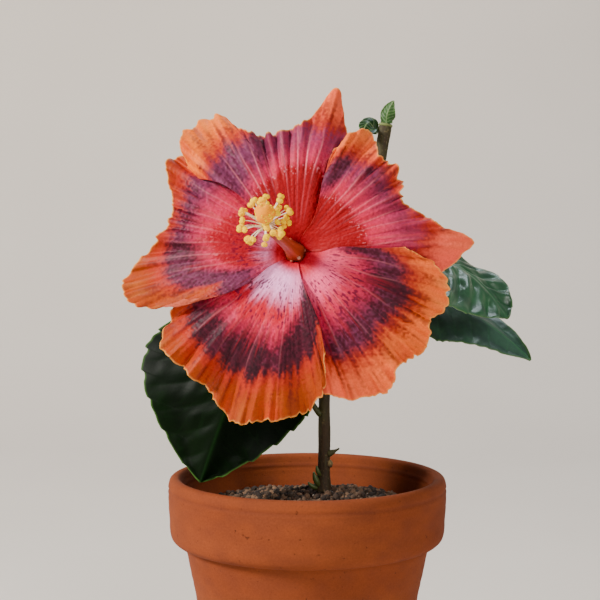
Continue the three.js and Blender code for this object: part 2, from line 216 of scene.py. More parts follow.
def add_shell(name, middle, thickness, front_tint, back_tint, material):
    """A blade on a grid of middle points, half its thickness to each side. The front is the side that the
    normals point to. On the OFBake map the front takes the left half and the back the right half."""
    rows, columns, _ = middle.shape
    half = np.broadcast_to(thickness, (rows, columns))[..., None] / 2
    lift = surface_normals(middle) * half
    points = np.concatenate([(middle + lift).reshape(-1, 3), (middle - lift).reshape(-1, 3)])
    v, u = np.meshgrid(np.linspace(0.005, 0.995, rows), np.linspace(0.005, 0.49, columns), indexing="ij")
    uv = np.concatenate([np.stack([u, v], -1).reshape(-1, 2), np.stack([u + 0.5, v], -1).reshape(-1, 2)])
    tint = np.concatenate([front_tint.reshape(-1, 3), back_tint.reshape(-1, 3)])
    return add_mesh(name, points, shell_faces(rows, columns), material, tint, uv)


def carry(path):
    """Two unit normals for each point of a path, each pair turned from the last as little as it can be."""
    along = unit(np.gradient(path, axis=0))
    first = unit(np.cross([0.0, 1.0, 0.1], along[0]))
    sides = [first]
    for step in along[1:]:
        sides.append(unit(sides[-1] - step * sides[-1].dot(step)))
    side = np.array(sides)
    return side, np.cross(along, side)


def ring_places(rows, sides):
    """The angle round and the share along for each point of rows rings of sides points."""
    angle = np.linspace(0, 2 * pi, sides, endpoint=False)[None, :]
    return np.broadcast_arrays(angle, np.linspace(0, 1, rows)[:, None])


def ring_faces(rows, sides):
    """Quads between rings that are stacked along their axis, and one face over each end."""
    ends = np.arange(sides)
    last = (rows - 1) * sides
    return [grid_faces(rows, sides, wrap=True)[:, ::-1], ends[None, ::-1], (last + ends)[None, :]]


def tube_points(path, radius, sides, relief=0.0):
    """Rings round a path: path + (radius + relief) (cos a side + sin a other)."""
    side, other = carry(path)
    angle = ring_places(len(path), sides)[0]
    reach = np.asarray(radius, float).reshape(-1, 1) + relief
    around = np.cos(angle)[..., None] * side[:, None] + np.sin(angle)[..., None] * other[:, None]
    return path[:, None] + around * reach[..., None]


def add_tube(name, path, radius, sides, material, tint, relief=0.0):
    """A closed limb along path, in the colours of tint."""
    points = tube_points(path, radius, sides, relief)
    paint = np.broadcast_to(tint, points.shape).reshape(-1, 3)
    return add_mesh(name, points.reshape(-1, 3), ring_faces(len(path), sides), material, paint)


def turned(profile, sides, relief=0.0):
    """A line of (radius, height) points turned about +Z, with relief added to the radius."""
    angle = ring_places(len(profile), sides)[0]
    reach = np.maximum(profile[:, 0:1] + relief * smooth(profile[:, 0:1], 0, 3), 0.02)
    return polar(reach, angle, profile[:, 1:2])


def scatter(name, shape, faces, turns, moves, material, tints):
    """Copies of one small shape joined in one piece, each turned by its matrix, moved and tinted."""
    points = np.einsum("nij,vj->nvi", turns, shape) + moves[:, None]
    size = len(shape)
    steps = (np.arange(len(moves)) * size)[:, None, None]
    joined = [(f[None] + steps).reshape(-1, f.shape[1]) for f in faces]
    return add_mesh(name, points.reshape(-1, 3), joined, material, np.repeat(tints, size, axis=0))


def turns_to(direction):
    """Turn matrices, one for each row of direction, that take +Z to it."""
    z = unit(np.asarray(direction, float))
    helper = np.where(np.abs(z[:, 2:3]) < 0.9, [[0.0, 0.0, 1.0]], [[1.0, 0.0, 0.0]])
    x = unit(np.cross(helper, z))
    return np.stack([x, np.cross(z, x), z], -1)


def ball(rings, sides):
    """A unit ball: rings of points between two poles, with its faces."""
    lat = np.linspace(0, pi, rings + 2)[1:-1, None]
    lon = np.linspace(0, 2 * pi, sides, endpoint=False)[None, :]
    body = polar(np.sin(lat), lon, np.cos(lat))
    points = np.concatenate([body.reshape(-1, 3), [[0, 0, 1], [0, 0, -1]]])
    c = np.arange(sides)
    nxt = (c + 1) % sides
    top, bottom = rings * sides, rings * sides + 1
    last = (rings - 1) * sides
    top_cap = np.stack([c * 0 + top, c, nxt], -1)
    bottom_cap = np.stack([c * 0 + bottom, nxt + last, c + last], -1)
    return points, [grid_faces(rings, sides, wrap=True), np.concatenate([top_cap, bottom_cap])]


# ---- materials ----
def new_material(name, roughness, **sockets):
    """A Principled material with those constant sockets, with its nodes, its links and its shader."""
    material = bpy.data.materials.new(name)
    material.use_nodes = True
    nodes, links = material.node_tree.nodes, material.node_tree.links
    shader = nodes["Principled BSDF"]
    shader.inputs["Roughness"].default_value = roughness
    for socket, value in sockets.items():
        shader.inputs[socket.replace("_", " ")].default_value = value
    return material, nodes, links, shader


def node(nodes, kind, **values):
    """A new node with those settings; a value that names an input sets that input."""
    made = nodes.new(kind)
    for key, value in values.items():
        plain = key.replace("_", " ")
        if plain in made.inputs:
            made.inputs[plain].default_value = value
        else:
            setattr(made, key, value)
    return made


def noise_at(nodes, links, scale, detail):
    """Noise on Object coordinates, scale in waves per metre."""
    coordinates = nodes.new("ShaderNodeTexCoord")
    texture = node(nodes, "ShaderNodeTexNoise", Scale=scale, Detail=detail, Roughness=0.55)
    links.new(coordinates.outputs["Object"], texture.inputs["Vector"])
    return texture.outputs["Fac"]


def curve_of(nodes, links, fac, stops):
    """A colour ramp over fac with stops of (place, grey level or colour)."""
    ramp = nodes.new("ShaderNodeValToRGB")
    while len(ramp.color_ramp.elements) < len(stops):
        ramp.color_ramp.elements.new(0.5)
    for element, (place, level) in zip(ramp.color_ramp.elements, stops):
        element.position = place
        element.color = (*(level if np.ndim(level) else (level,) * 3), 1)
    links.new(fac, ramp.inputs["Fac"])
    return ramp.outputs["Color"]


def multiplied(nodes, links, a, b):
    """Colour a times colour b. Both are sockets."""
    mix = node(nodes, "ShaderNodeMix", data_type="RGBA", blend_type="MULTIPLY")
    inputs = {socket.identifier: socket for socket in mix.inputs}
    inputs["Factor_Float"].default_value = 1.0
    links.new(a, inputs["A_Color"])
    links.new(b, inputs["B_Color"])
    return next(socket for socket in mix.outputs if socket.identifier == "Result_Color")


def add_bump(nodes, links, shader, heights):
    """Chained bump nodes: heights is a list of (height socket, strength, distance in metres)."""
    normal = None
    for height, strength, distance in heights:
        bump = node(nodes, "ShaderNodeBump", Strength=strength, Distance=distance)
        links.new(height, bump.inputs["Height"])
        if normal:
            links.new(normal, bump.inputs["Normal"])
        normal = bump.outputs["Normal"]
    links.new(normal, shader.inputs["Normal"])


def painted(name, roughness, grain, mottle, bump, shine=0.0, **sockets):
    """The piece's own tint, mottled by a wide and a fine noise, with a fine noise bump. grain is waves per
    metre of the fine noise, mottle how far it lightens and darkens, bump its height in metres. Roughness
    swings by shine."""
    material, nodes, links, shader = new_material(name, roughness, **sockets)
    tint = node(nodes, "ShaderNodeAttribute", attribute_name="tint")
    fine = noise_at(nodes, links, grain, 4)
    wide = noise_at(nodes, links, grain / 9, 2)
    shade = curve_of(nodes, links, fine, [(0.25, 1 - mottle), (0.75, 1 + mottle)])
    wash = curve_of(nodes, links, wide, [(0.3, 1 - mottle / 2), (0.7, 1 + mottle / 2)])
    base = multiplied(nodes, links, tint.outputs["Color"], shade)
    links.new(multiplied(nodes, links, base, wash), shader.inputs["Base Color"])
    if shine:
        gloss = curve_of(nodes, links, wide, [(0.3, roughness - shine), (0.7, roughness + shine)])
        links.new(gloss, shader.inputs["Roughness"])
    add_bump(nodes, links, shader, [(fine, 0.6, bump)])
    return material


def finished(piece, slot, *cad_nodes):
    """The piece rides on the one body and stands for its CAD nodes, which it hides. slot is not used."""
    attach(piece, "root")
    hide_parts(*cad_nodes)


# ---- the bloom ----
# Its own frame: +X its right, +Y its top, +Z out of its face.
THROAT = np.array([-6.2, -70.0, 257.0])
NOD, TURN = radians(9), radians(6)
CLAW_RADIUS, CLAW_ANGLE, TUCK = 2.6, 40.0, 7.0
FACE_RADIUS = 80.0
NECK_DEPTH, NECK_SPREAD, FUNNEL_DEPTH, FUNNEL_SPREAD = 16.0, 0.9, 6.0, 9.0
CROWN, RECURVE, PETAL_STEP = 4.0, 11.0, 3.0
FIRST_ANGLE, PETAL_ANGLE = 100.0, 72.0


def turn_x(a):
    """The matrix of a turn by a radians about +X."""
    return np.array([[1, 0, 0], [0, cos(a), -sin(a)], [0, sin(a), cos(a)]])


def turn_y(a):
    """The matrix of a turn by a radians about +Y."""
    return np.array([[cos(a), 0, sin(a)], [0, 1, 0], [-sin(a), 0, cos(a)]])


BLOOM_TURN = turn_x(pi / 2) @ turn_x(-NOD) @ turn_y(-TURN)


def from_bloom(points):
    """From the bloom's own frame to design millimetres."""
    return np.asarray(points) @ BLOOM_TURN.T + THROAT


# Angles are in degrees from the petal's middle, lengths in millimetres.
# margin: [angle, radius] from the back corner to the front corner. front: the angle of the edge that lies
# over the next petal, throat to margin. folds: [angle, height, width] of single ruffles at the margin.
# lean: how far forward the margin stands. pleat: the height of the pleats at the margin, 1 if not given.
# zones: [angle, end of the red throat, start and end of the dark band]. blush: [start, end, strength] of
# the pale ring of sheen_blush_tint round the throat, LILAC_SHEEN if not given: partly the petal's own colour
# and partly painted sheen. veins: [angle, strength]. curl: how far the ends of the veins bend outwards.
# pink:
# how rosy the throat is. dusk: how mauve the zone over it. gloom: how black the band is. faded: (angles,
# shares) where the band fades. warm: how orange the margin is against coral, at the back corner, the middle
# and the front corner. toast_and_shade: how brown that orange is, partly its own colour and partly painted
# shade where the lobe turns away from the light.
PETALS = {
    "petal_top": dict(
        curl=0.22, dusk=0.7, gloom=0.4, faded=([-24, -6, 14], [0.8, 0.55, 0.0]), pleat=0.4,
        folds=[[34, 3.5, 4], [26, -3, 3], [-2, 1.5, 5]],
        lean=-2, front=[33, 34, 36, 44], blush=[12, 20, 0.0], pink=0.0, warm=[0.0, 0.75, 1.0],
        margin=[[-45, 57], [-32, 66], [-27, 77], [-23, 86], [-18, 71], [-11, 63],
                [0, 61], [12, 66], [20, 82], [28, 85], [36, 80], [44, 65]],
        zones=[[-45, 38, 56, 62], [-25, 42, 64, 67], [-12, 41, 51, 68], [0, 39, 50, 66],
               [12, 36, 47, 66], [22, 34, 42, 67], [32, 33, 37, 65], [44, 28, 32, 56]],
        veins=[[-23, 0.7], [-17.5, 1.0], [-11, 0.7], [-3.5, 0.8],
               [7, 0.6], [13, 0.8], [19, 0.7], [28, 0.6]],
    ),
    "petal_upper_right": dict(
        curl=0.1, dusk=0.35, gloom=0.45, faded=([-28, -8, 8], [0.6, 0.45, 0.0]), pleat=0.6,
        folds=[[14, 2.5, 4], [27, -2.5, 4], [-33, -3, 4]],
        lean=1, front=[27, 31, 39, 41], blush=[12, 20, 0.0], pink=0.0, warm=[0.0, 0.3, 0.75],
        margin=[[-43, 60], [-35, 72], [-29, 81], [-24, 86], [-19, 74], [-12, 64],
                [-3, 59], [9, 63], [22, 64], [31, 70], [37, 63], [41, 53]],
        zones=[[-43, 34, 58, 59], [-28, 37, 61, 62], [-16, 36, 52, 66], [0, 33, 49, 59],
               [12, 33, 49, 60], [25, 32, 45, 57], [33, 29, 36, 54], [41, 26, 29, 45]],
        veins=[[-24, 0.3], [-13, 0.3], [-6, 0.35], [0, 0.5], [5, 0.4], [12, 0.6], [20, 0.6], [27, 0.4]],
    ),
    "petal_lower_right": dict(
        curl=0.0, dusk=0.1, gloom=0.7, folds=[[-34, 2.5, 3], [8, -2.5, 4], [30, 3, 4], [18, 2, 3]],
        lean=0, front=[34, 46, 44, 44], blush=[13, 34, 0.85], sheen_blush_tint=colour("#ff5c8a"), pink=0.75,
        warm=[0.2, 0.8, 0.75],
        margin=[[-41, 66], [-33, 72], [-26, 76], [-18, 80], [-11, 81], [-5, 75],
                [2, 78], [9, 78], [16, 74], [26, 76], [36, 72], [44, 54]],
        zones=[[-41, 30, 52, 54], [-28, 30, 46, 58], [-20, 30, 43, 63], [-5, 29, 40, 62],
               [10, 29, 43, 61], [25, 28, 41, 61], [36, 26, 35, 59], [44, 20, 25, 48]],
        veins=[[-31, 0.5], [-22, 0.3], [-4, 0.3], [14, 0.3], [26, 0.4], [35, 0.4]],
    ),
    "petal_bottom": dict(
        curl=0.0, dusk=0.1, gloom=0.95, folds=[[-26, 2.5, 3], [-8, -3, 4], [12, 3.5, 3], [33, -3.5, 4]],
        lean=1, front=[33, 42, 45, 43], toast_and_shade=1.0, blush=[10, 33, 1.0], pink=0.8, warm=[0.35, 0.9, 1.0],
        margin=[[-43, 66], [-37, 72], [-31, 82], [-22, 80], [-13, 79], [-5, 82],
                [4, 90], [12, 85], [21, 82], [30, 76], [39, 66], [43, 52]],
        zones=[[-43, 36, 50, 60], [-30, 38, 48, 68], [-15, 39, 48, 71], [0, 38, 47, 70],
               [15, 35, 47, 67], [27, 26, 36, 62], [36, 17, 23, 56], [43, 12, 16, 42]],
        veins=[[-33, 0.3], [-25, 0.4], [-12, 0.25], [3, 0.25], [18, 0.2]],
    ),
    "petal_left": dict(
        curl=0.1, dusk=0.15, gloom=0.55, toast_and_shade=1.0, folds=[[8, -2.5, 4], [20, 3, 3], [-20, 2.5, 4]],
        lean=1, front=[30, 43, 40, 31], blush=[12, 23, 0.65], pink=0.45, warm=[0.0, 0.8, 1.0],
        margin=[[-43, 64], [-35, 73], [-28, 81], [-23, 75], [-16, 67], [-8, 64],
                [0, 67], [8, 77], [16, 90], [22, 88], [28, 75], [31, 61]],
        zones=[[-43, 30, 46, 66], [-28, 31, 50, 70], [-12, 40, 53, 64], [0, 42, 52, 67],
               [12, 38, 49, 70], [20, 32, 43, 68], [26, 24, 31, 62], [31, 16, 20, 46]],
        veins=[[-27, 0.3], [-14, 0.3], [-6, 0.35], [2, 0.4], [10, 0.4], [17, 0.3]],
    ),
}
PETAL_ROWS, PETAL_COLUMNS = 195, 222

DEEP_THROAT = colour("#7a0712")
THROAT_RED = colour("#900416")
PURE_RED = colour("#96000e")
ROSE = colour("#c41430")
PINK = colour("#cc2450")
PALE_STREAK = colour("#ff8c9c")
LILAC_SHEEN = colour("#ffa8e0")
DASH = colour("#5a0a30")
MAUVE = colour("#80385c")
MAROON = colour("#4c1024")
NEAR_BLACK = colour("#1c0510")
FLAME = colour("#b5280c")
ORANGE = colour("#f2700f")
CORAL = colour("#ff5c4a")
SINGE = colour("#641a0e")
TOAST_AND_SHADE = colour("#9c3806")
EDGE = colour("#ffb050")
PETAL_BACK = colour("#c8604c")


def face_depth(angle, radius):
    """How far forward the bloom's face stands: a neck close round the column and a shallow funnel that die
    away outwards, plus a crown, less the fall of the rim with the fourth power of the radius, plus waves
    round the angle near the rim."""
    out = radius / FACE_RADIUS
    neck = NECK_DEPTH * np.exp(-(radius - CLAW_RADIUS) / NECK_SPREAD)
    funnel = -neck - FUNNEL_DEPTH * np.exp(-(radius - CLAW_RADIUS) / FUNNEL_SPREAD)
    bowl = CROWN * np.sin(pi * np.minimum(1, 1.15 * out)) - RECURVE * out**4
    a = np.radians(angle)
    waves = 1.8 * np.sin(5 * a + 0.6) + 1.5 * np.sin(8 * a + 2.1) + 1.1 * np.sin(13 * a)
    return funnel + bowl + waves * out**2.2


def petal_lines(shape, index):
    """The grid of one petal: angles fan out from a claw of CLAW_ANGLE to the margin's own angles, the back
    edge tucked TUCK further under its neighbour, and radius runs evenly from claw to margin, whose outline
    is scalloped by two noises. Returns a dict of arrays."""
    t, u = np.meshgrid(np.linspace(0, 1, PETAL_ROWS), np.linspace(0, 1, PETAL_COLUMNS), indexing="ij")
    at_margin = spline(shape["margin"], u[0])
    back_corner, front_corner = shape["margin"][0][0], shape["margin"][-1][0]
    opened = smooth(t, 0.04, 0.3)
    back = lerp(-CLAW_ANGLE, back_corner, opened) - TUCK * bell(t - 0.22, 0.2)
    front_curve = spline(np.array(shape["front"], float)[:, None], t)[..., 0]
    front = lerp(CLAW_ANGLE, front_curve, opened)
    share = lerp(u, (at_margin[:, 0] - back_corner) / (front_corner - back_corner), smooth(t, 0.1, 0.9))
    offset = lerp(back, front, share)
    frill = smooth(shape["warm"][2] * (at_margin[:, 0] + 30), 0, 40)
    broad = noise(at_margin[:, 0] * 0.27, index * 7.0, 11) * 1.6
    narrow = noise(at_margin[:, 0] * 0.8, index * 5.0, 12) * 1.3
    margin = at_margin[:, 1] + (broad + narrow) * (0.35 + 0.65 * frill)
    radius = lerp(CLAW_RADIUS, margin, t)
    angle = FIRST_ANGLE - PETAL_ANGLE * index + offset
    return dict(t=t, share=share, offset=offset, radius=radius, angle=angle, margin=margin + 0 * t)


def petal_streaks(g, index):
    """Wide, middling and fine lines that run along the petal, and a pebbly grain about 1 mm wide."""
    offset, radius = g["offset"], g["radius"]
    a = np.radians(g["angle"])
    wide = noise(offset * 0.16, radius / 45, 20 + index)
    lines = noise(offset * 0.46, radius / 26, 30 + index)
    fine = noise(offset * 0.95, radius / 15, 40 + index)
    grain = noise(radius * np.cos(a) / 0.95, radius * np.sin(a) / 0.95, 50 + index)
    return wide, lines, fine, grain


def petal_middle(shape, index, g, streaks):
    """The petal's mid surface in the bloom's frame: the shared face, a step that lifts its front edge and
    drops its back edge, a crease at the pointed ear with the corner behind it folded back, ruffles and
    folds that grow with a high power of t, pleats along the lines, and a groove down each vein."""
    t, offset, radius, share = g["t"], g["offset"], g["radius"], g["share"]
    # The ear is the fourth place along the margin of the two upper petals, and the third of the others.
    ear = shape["margin"][3 if index < 2 else 2][0]
    step = lerp(0.65, PETAL_STEP, smooth(t, 0.12, 0.45)) * (2 * share - 1) * smooth(t, 0, 0.06)
    fold = -7.0 * smooth(ear - offset, -1, 16) * t**2 + 1.8 * bell(offset - ear, 4) * t**2
    ruffle = 3.2 * noise(offset * 0.14, index, 51) * t**3 + 3.8 * noise(offset * 0.3 + 3, index, 52) * t**5
    frill = 2.1 * noise(offset * 0.6, radius * 0.02, 53 + index) * t**8
    for place, lift, width in shape["folds"]:
        frill = frill + lift * bell(offset - place, width) * t**5
    depth = face_depth(g["angle"], radius) + step + shape["lean"] * t**2 + fold + ruffle + frill
    points = polar(radius, np.radians(g["angle"]), depth)
    _, lines, fine, grain = streaks
    low_pleats = (0.15 * lines + 0.14 * fine) * smooth(t, 0.1, 0.6)
    rim_pleats = (0.9 * lines + 0.35 * fine) * shape.get("pleat", 1) * t**4
    pleats = low_pleats + rim_pleats + 0.14 * grain
    grooves = 0
    for vein, strength in shape["veins"]:
        grooves = grooves + -0.2 * strength * bell((offset - vein) * radius / DEGREES_PER_RADIAN, 0.9)
    return points + surface_normals(points) * (pleats + grooves * smooth(t, 0.1, 0.4))[..., None]


def petal_tint(shape, index, g, streaks):
    """The petal's colours from throat to margin. The border of each zone is its radius from the zones
    table, pushed in and out by the lines, so that the colours run into each other in flames."""
    offset, radius, t = g["offset"], g["radius"], g["t"]
    wide, lines, fine, grain = streaks
    zones = np.array(shape["zones"], float)
    red_end, band_start, band_end = (np.interp(offset, zones[:, 0], zones[:, k]) for k in (1, 2, 3))
    plain = 0 * t[..., None]

    throat = blend(THROAT_RED, ROSE, np.array(shape["pink"]))
    tint = blend(DEEP_THROAT + plain, throat, smooth(radius, 3, 6))
    red = blend(PURE_RED + plain, ROSE, shape["pink"] + 0.25 * fine * shape["pink"])
    tint = blend(tint, red, smooth(radius, 5, 12))
    rosy = blend(PINK + plain, ROSE, 0.5 + 0.2 * lines + 0.35 * fine + 0.4 * grain)
    rosy = blend(rosy, PALE_STREAK, smooth(fine + 0.4 * grain, 0.2, 1.0) * 0.16)
    dusk = shape["dusk"]
    rosy = blend(rosy, MAUVE, dusk * smooth(radius - red_end, 0, 18) + 0.25 * grain * dusk)
    border = radius + 2.2 * wide + 1.6 * lines + 0.8 * grain - red_end
    tint = blend(tint, rosy, smooth(border, -1.5, 3.5))
    # Painted highlights: small pale glints dotted along the border of the red throat.
    glint_dots = smooth(noise(offset * 1.1, radius * 0.9, 86 + index), 0.55, 0.8) * bell(border + 0.5, 2.5)
    tint = blend(tint, PALE_STREAK, glint_dots * 0.55 * (1 - shape["pink"]))

    # The pale ring round the throat is partly the petal's own colour and partly a painted sheen.
    start, end, strength = shape["blush"]
    fade = lerp(1.0, 0.45, smooth(offset, 8, 40))
    outer = radius + 2.5 * wide + 2.5 * lines + 1.5 * fine
    lilac_sheen = strength * fade * smooth(radius, start - 3, start + 4) * (1 - smooth(outer, end - 14, end))
    tint = blend(tint, shape.get("sheen_blush_tint", LILAC_SHEEN), lilac_sheen)
    dashes = smooth(noise(offset * 0.95, radius * 0.5, 80 + index) + 0.25 * grain, 0.38, 0.56)
    dashes = dashes * smooth(radius, 14, 19) * (1 - smooth(radius, end + 2, end + 14))
    tint = blend(tint, DASH, dashes * min(1, strength * 1.6) * 0.8)

    band = smooth(radius + 2.5 * wide + 1.5 * fine + 2.2 * grain - band_start, -10, 6)
    gloom = shape["gloom"] + 0.25 * wide + 0.2 * fine + 0.28 * grain
    dark = blend(MAUVE + plain, MAROON, gloom * 1.3)
    dark = blend(dark, NEAR_BLACK, smooth(gloom, 0.6, 1.5) * 0.9)
    tint = blend(tint, dark, band * (1 - np.interp(offset, *shape.get("faded", ([0, 1], [0, 0])))))
    blood = smooth(fine + 0.5 * lines, 0.3, 0.9) * bell(radius - band_start - 2, 7)
    tint = blend(tint, ROSE, blood * 0.3)

    warm = np.interp(offset, [shape["margin"][0][0], 0, shape["margin"][-1][0]], shape["warm"])
    # The orange is browned by TOAST_AND_SHADE: in patches as its own colour, and on the bottom and left
    # petals, by their toast_and_shade, as painted shade where the lobe turns away from the light.
    bright = blend(blend(CORAL + plain, ORANGE, warm), TOAST_AND_SHADE, shape.get("toast_and_shade", 0) + 0.25 * wide)
    hot = 0.5 + 0.5 * warm
    flames = radius - 3 * wide - 2.2 * lines - 2.6 * fine - 2.4 * grain - band_end
    tint = blend(tint, FLAME, smooth(flames, -8, 0) * 0.85)
    tint = blend(tint, bright, smooth(flames, -3, 10))
    singe = smooth(fine + 0.5 * lines + 0.4 * grain, 0.1, 0.9) * (1 - smooth(radius - band_end, 0, 24))
    tint = blend(tint, SINGE, singe * smooth(radius - band_end, -4, 2) * 0.85 * hot)
    licks = smooth(-wide - 0.5 * lines + 0.3 * grain, 0.1, 1.0) * smooth(flames, 4, 12)
    tint = blend(tint, FLAME, licks * 0.6 * hot)
    glow = smooth(wide + 0.6 * lines, 0.3, 1.0) * smooth(radius - band_end, 4, 18)
    tint = blend(tint, EDGE, glow * 0.35 * warm)

    for vein, strength in shape["veins"]:
        sway = noise(radius / 18, vein, 90) * 1.1 + shape["curl"] * vein * (radius / 60 - 1) ** 2
        line = bell((offset - vein - sway) * radius / DEGREES_PER_RADIAN, 0.34) * strength * 0.8
        line = line * lerp(0.15, 1.0, smooth(radius, red_end - 10, red_end + 4))
        line = line * smooth(radius, 12, 20) * (1 - smooth(radius, band_end - 14, band_end))
        tint = blend(tint, PALE_STREAK, line * lerp(0.8, 0.6, band))
    return blend(tint, EDGE, bell(g["margin"] - radius, 0.6) * 0.7)


def make_petals():
    """The five petals: thin shells, with the face's colours muted on the under side."""
    skin = painted("petal_skin", 0.55, 1100, 0.14, 0.00012, shine=0.06, Specular_IOR_Level=0.15)
    for index, (name, shape) in enumerate(PETALS.items()):
        g = petal_lines(shape, index)
        streaks = petal_streaks(g, index)
        middle = from_bloom(petal_middle(shape, index, g, streaks))
        tint = petal_tint(shape, index, g, streaks)
        thickness = lerp(0.55, 0.45, smooth(g["t"], 0, 0.6))
        back = blend(tint, PETAL_BACK, 0.55 + 0 * g["t"])
        finished(add_shell(name, middle, thickness, tint, back, skin), "petal", name)


# ---- the middle of the bloom ----
COLUMN = [[0, 0, -31], [0, 0, -12], [-3.1, 2.4, 12], [-10.4, 8.2, 31]]
COLUMN_TIP = np.array(COLUMN[-1])
BRUSH_AXIS = unit(np.array([0.08, 0.3, 0.95]))
STIGMA_RADIUS = 4.7
STIGMA_AWAY = 12.5
GOLDEN_ANGLE = 2.39996
ANTHERS = 42
KNOBS = 7

COLUMN_DARK = colour("#782214")
COLUMN_SALMON = colour("#9a3a1c")
FILAMENT = colour("#f6ead6")
POLLEN = colour("#ffbe00")
POLLEN_PALE = colour("#ffe000")
STIGMA_ORANGE = colour("#ff9800")


def make_column():
    """The tube of joined stamens, with low ribs, and small knobs round its foot."""
    skin = painted("column_skin", 0.4, 1500, 0.12, 0.0001)
    path = evenly(spline(COLUMN, np.linspace(0, 1, 200)), 90)
    angle, share = ring_places(len(path), 40)
    ribs = 0.3 * np.cos(5 * angle) + 0.12 * ring_noise(angle, 20, share * 30, 101)
    ridges = 0.25 * np.cos(5 * angle)
    tint = blend(COLUMN_DARK + 0 * angle[..., None], COLUMN_SALMON, smooth(share, 0.3, 0.6) + ridges)
    radius = spline([[3.2], [4.6], [4.9], [3.1], [2.4], [2.2]], share[:, 0])[:, 0]
    column = add_tube("stamen_column", from_bloom(path), radius, 40, skin, tint, ribs)
    finished(column, "column", "stamen_column")

    rng = np.random.default_rng(5)
    shape, faces = ball(7, 10)
    turn = np.linspace(0, 2 * pi, KNOBS, endpoint=False) + rng.uniform(-0.3, 0.3, KNOBS)
    level = rng.uniform(-6, 0, KNOBS)
    foot = np.stack([np.interp(level, path[:, 2], path[:, k]) for k in range(3)], -1)
    moves = foot + polar(5.0, turn, 0 * turn)
    sizes = rng.uniform(0.7, 1.3, KNOBS)[:, None, None] * np.eye(3)
    tints = blend(COLUMN_SALMON + np.zeros((KNOBS, 3)), FILAMENT, rng.uniform(0.0, 0.16, KNOBS))
    knobs = scatter("column_knobs", shape, faces, BLOOM_TURN @ sizes, from_bloom(moves), skin, tints)
    finished(knobs, "column", "stamen_column")


def anther_places():
    """Where the filaments leave the column and where they end: in a flat ball about the brush axis, and on
    its under side only round the rim, so that the filaments there show."""
    rng = np.random.default_rng(17)
    turn = np.arange(ANTHERS) * GOLDEN_ANGLE + rng.uniform(-0.3, 0.3, ANTHERS)
    low = smooth(-np.sin(turn), -0.1, 0.5)
    level = np.tile([0.5, 1.0, 0.72, 0.9, 1.08, 0.8], ANTHERS)[:ANTHERS] + rng.uniform(-0.06, 0.06, ANTHERS)
    level = lerp(level, 0.8 + 0.25 * level, low)
    spread = 11.6 * level
    ahead = lerp(8.5, 6.5, level) - 3.5 * low + rng.uniform(-3.5, 3.5, ANTHERS)
    frame_turn = turns_to(BRUSH_AXIS[None])[0]
    ends = polar(spread, turn, ahead) @ frame_turn.T + COLUMN_TIP
    feet = polar(1.2, turn, ahead * 0.4 - 2.5) @ frame_turn.T + COLUMN_TIP
    return feet, ends, rng


def make_brush():
    """Filaments that fan out from the head of the column, an anther on each, and the style inside them."""
    silk = painted("filament_silk", 0.45, 2500, 0.06, 0.00005)
    pollen = painted("anther_pollen", 0.8, 2600, 0.15, 0.0003, Specular_IOR_Level=0.0)
    feet, ends, rng = anther_places()
    bow = feet + BRUSH_AXIS * 3.5 + (ends - feet) * 0.4
    faces, points = [], []
    rings, sides = 12, 7
    share = np.linspace(0, 1, rings)
    for count, (foot, middle, end) in enumerate(zip(feet, bow, ends)):
        line = from_bloom(bezier([foot, middle, end], share))
        points.append(tube_points(line, lerp(0.34, 0.24, share), sides).reshape(-1, 3))
        faces.append([f + count * rings * sides for f in ring_faces(rings, sides)])
    points = np.concatenate(points)
    joined = [np.concatenate(kind) for kind in zip(*faces)]
    threads = add_mesh("filaments", points, joined, silk, np.tile(FILAMENT, (len(points), 1)))
    finished(threads, "anthers", "anther_cluster")

    style = COLUMN_TIP + BRUSH_AXIS * np.linspace(-1.5, STIGMA_AWAY - STIGMA_RADIUS + 1, 16)[:, None]
    girth = lerp(2.1, 1.3, np.linspace(0, 1, 16))
    core = add_tube("style", from_bloom(style), girth, 16, silk, POLLEN_PALE)
    finished(core, "anthers", "anther_cluster")

    shape, flesh = ball(9, 14)
    dent = 1 - 0.25 * bell(shape[:, :1], 0.25) * smooth(shape[:, 2:], -0.2, 0.7)
    shape = shape * [1.0, 0.9, 0.8] * dent
    outward = unit(ends - feet + rng.normal(0, 1.5, ends.shape))
    sizes = rng.uniform(1.5, 2.0, ANTHERS)[:, None, None]
    tints = blend(POLLEN + np.zeros((ANTHERS, 3)), POLLEN_PALE, rng.uniform(0, 0.7, ANTHERS))
    turns = BLOOM_TURN @ turns_to(outward) * sizes
    balls = scatter("anthers", shape, flesh, turns, from_bloom(ends), pollen, tints)
    finished(balls, "anthers", "anther_cluster")


def make_stigma():
    """A knob of soft pads: a ball whose radius swells over sixteen pads, dusted with grains of pollen."""
    skin = painted("stigma_skin", 0.6, 2200, 0.1, 0.0002, Specular_IOR_Level=0.03)
    shape, faces = ball(40, 56)
    rng = np.random.default_rng(23)
    pads = unit(rng.normal(0, 1, (16, 3)) + [0, 0, 0.6])
    near = np.max(shape @ pads.T, axis=1)
    centre = COLUMN_TIP + BRUSH_AXIS * STIGMA_AWAY
    swollen = shape * (STIGMA_RADIUS * (0.8 + 0.24 * smooth(near, 0.78, 0.96)))[:, None]
    tint = blend(POLLEN + 0 * shape, STIGMA_ORANGE, smooth(near, 0.75, 0.95))
    finished(add_mesh("stigma", from_bloom(swollen + centre), faces, skin, tint), "stigma", "stigma")

    grain, sides = ball(3, 6)
    spots = unit(rng.normal(0, 1, (60, 3)) + [0.3, -0.2, 0.3])
    moves = from_bloom(centre + spots * STIGMA_RADIUS * 0.96)
    sizes = rng.uniform(0.3, 0.62, 60)[:, None, None] * np.eye(3)
    dust = scatter("stigma_pollen", grain, sides, sizes, moves, skin, np.tile(POLLEN_PALE, (60, 1)))
    finished(dust, "stigma", "stigma")


# ---- behind the bloom ----
CALYX_BASE = -49.0
GAP = 0.35
SEPAL_GREEN = colour("#6f8a3a")
SEPAL_RED = colour("#8a4632")
STALK_GREEN = colour("#5d7230")


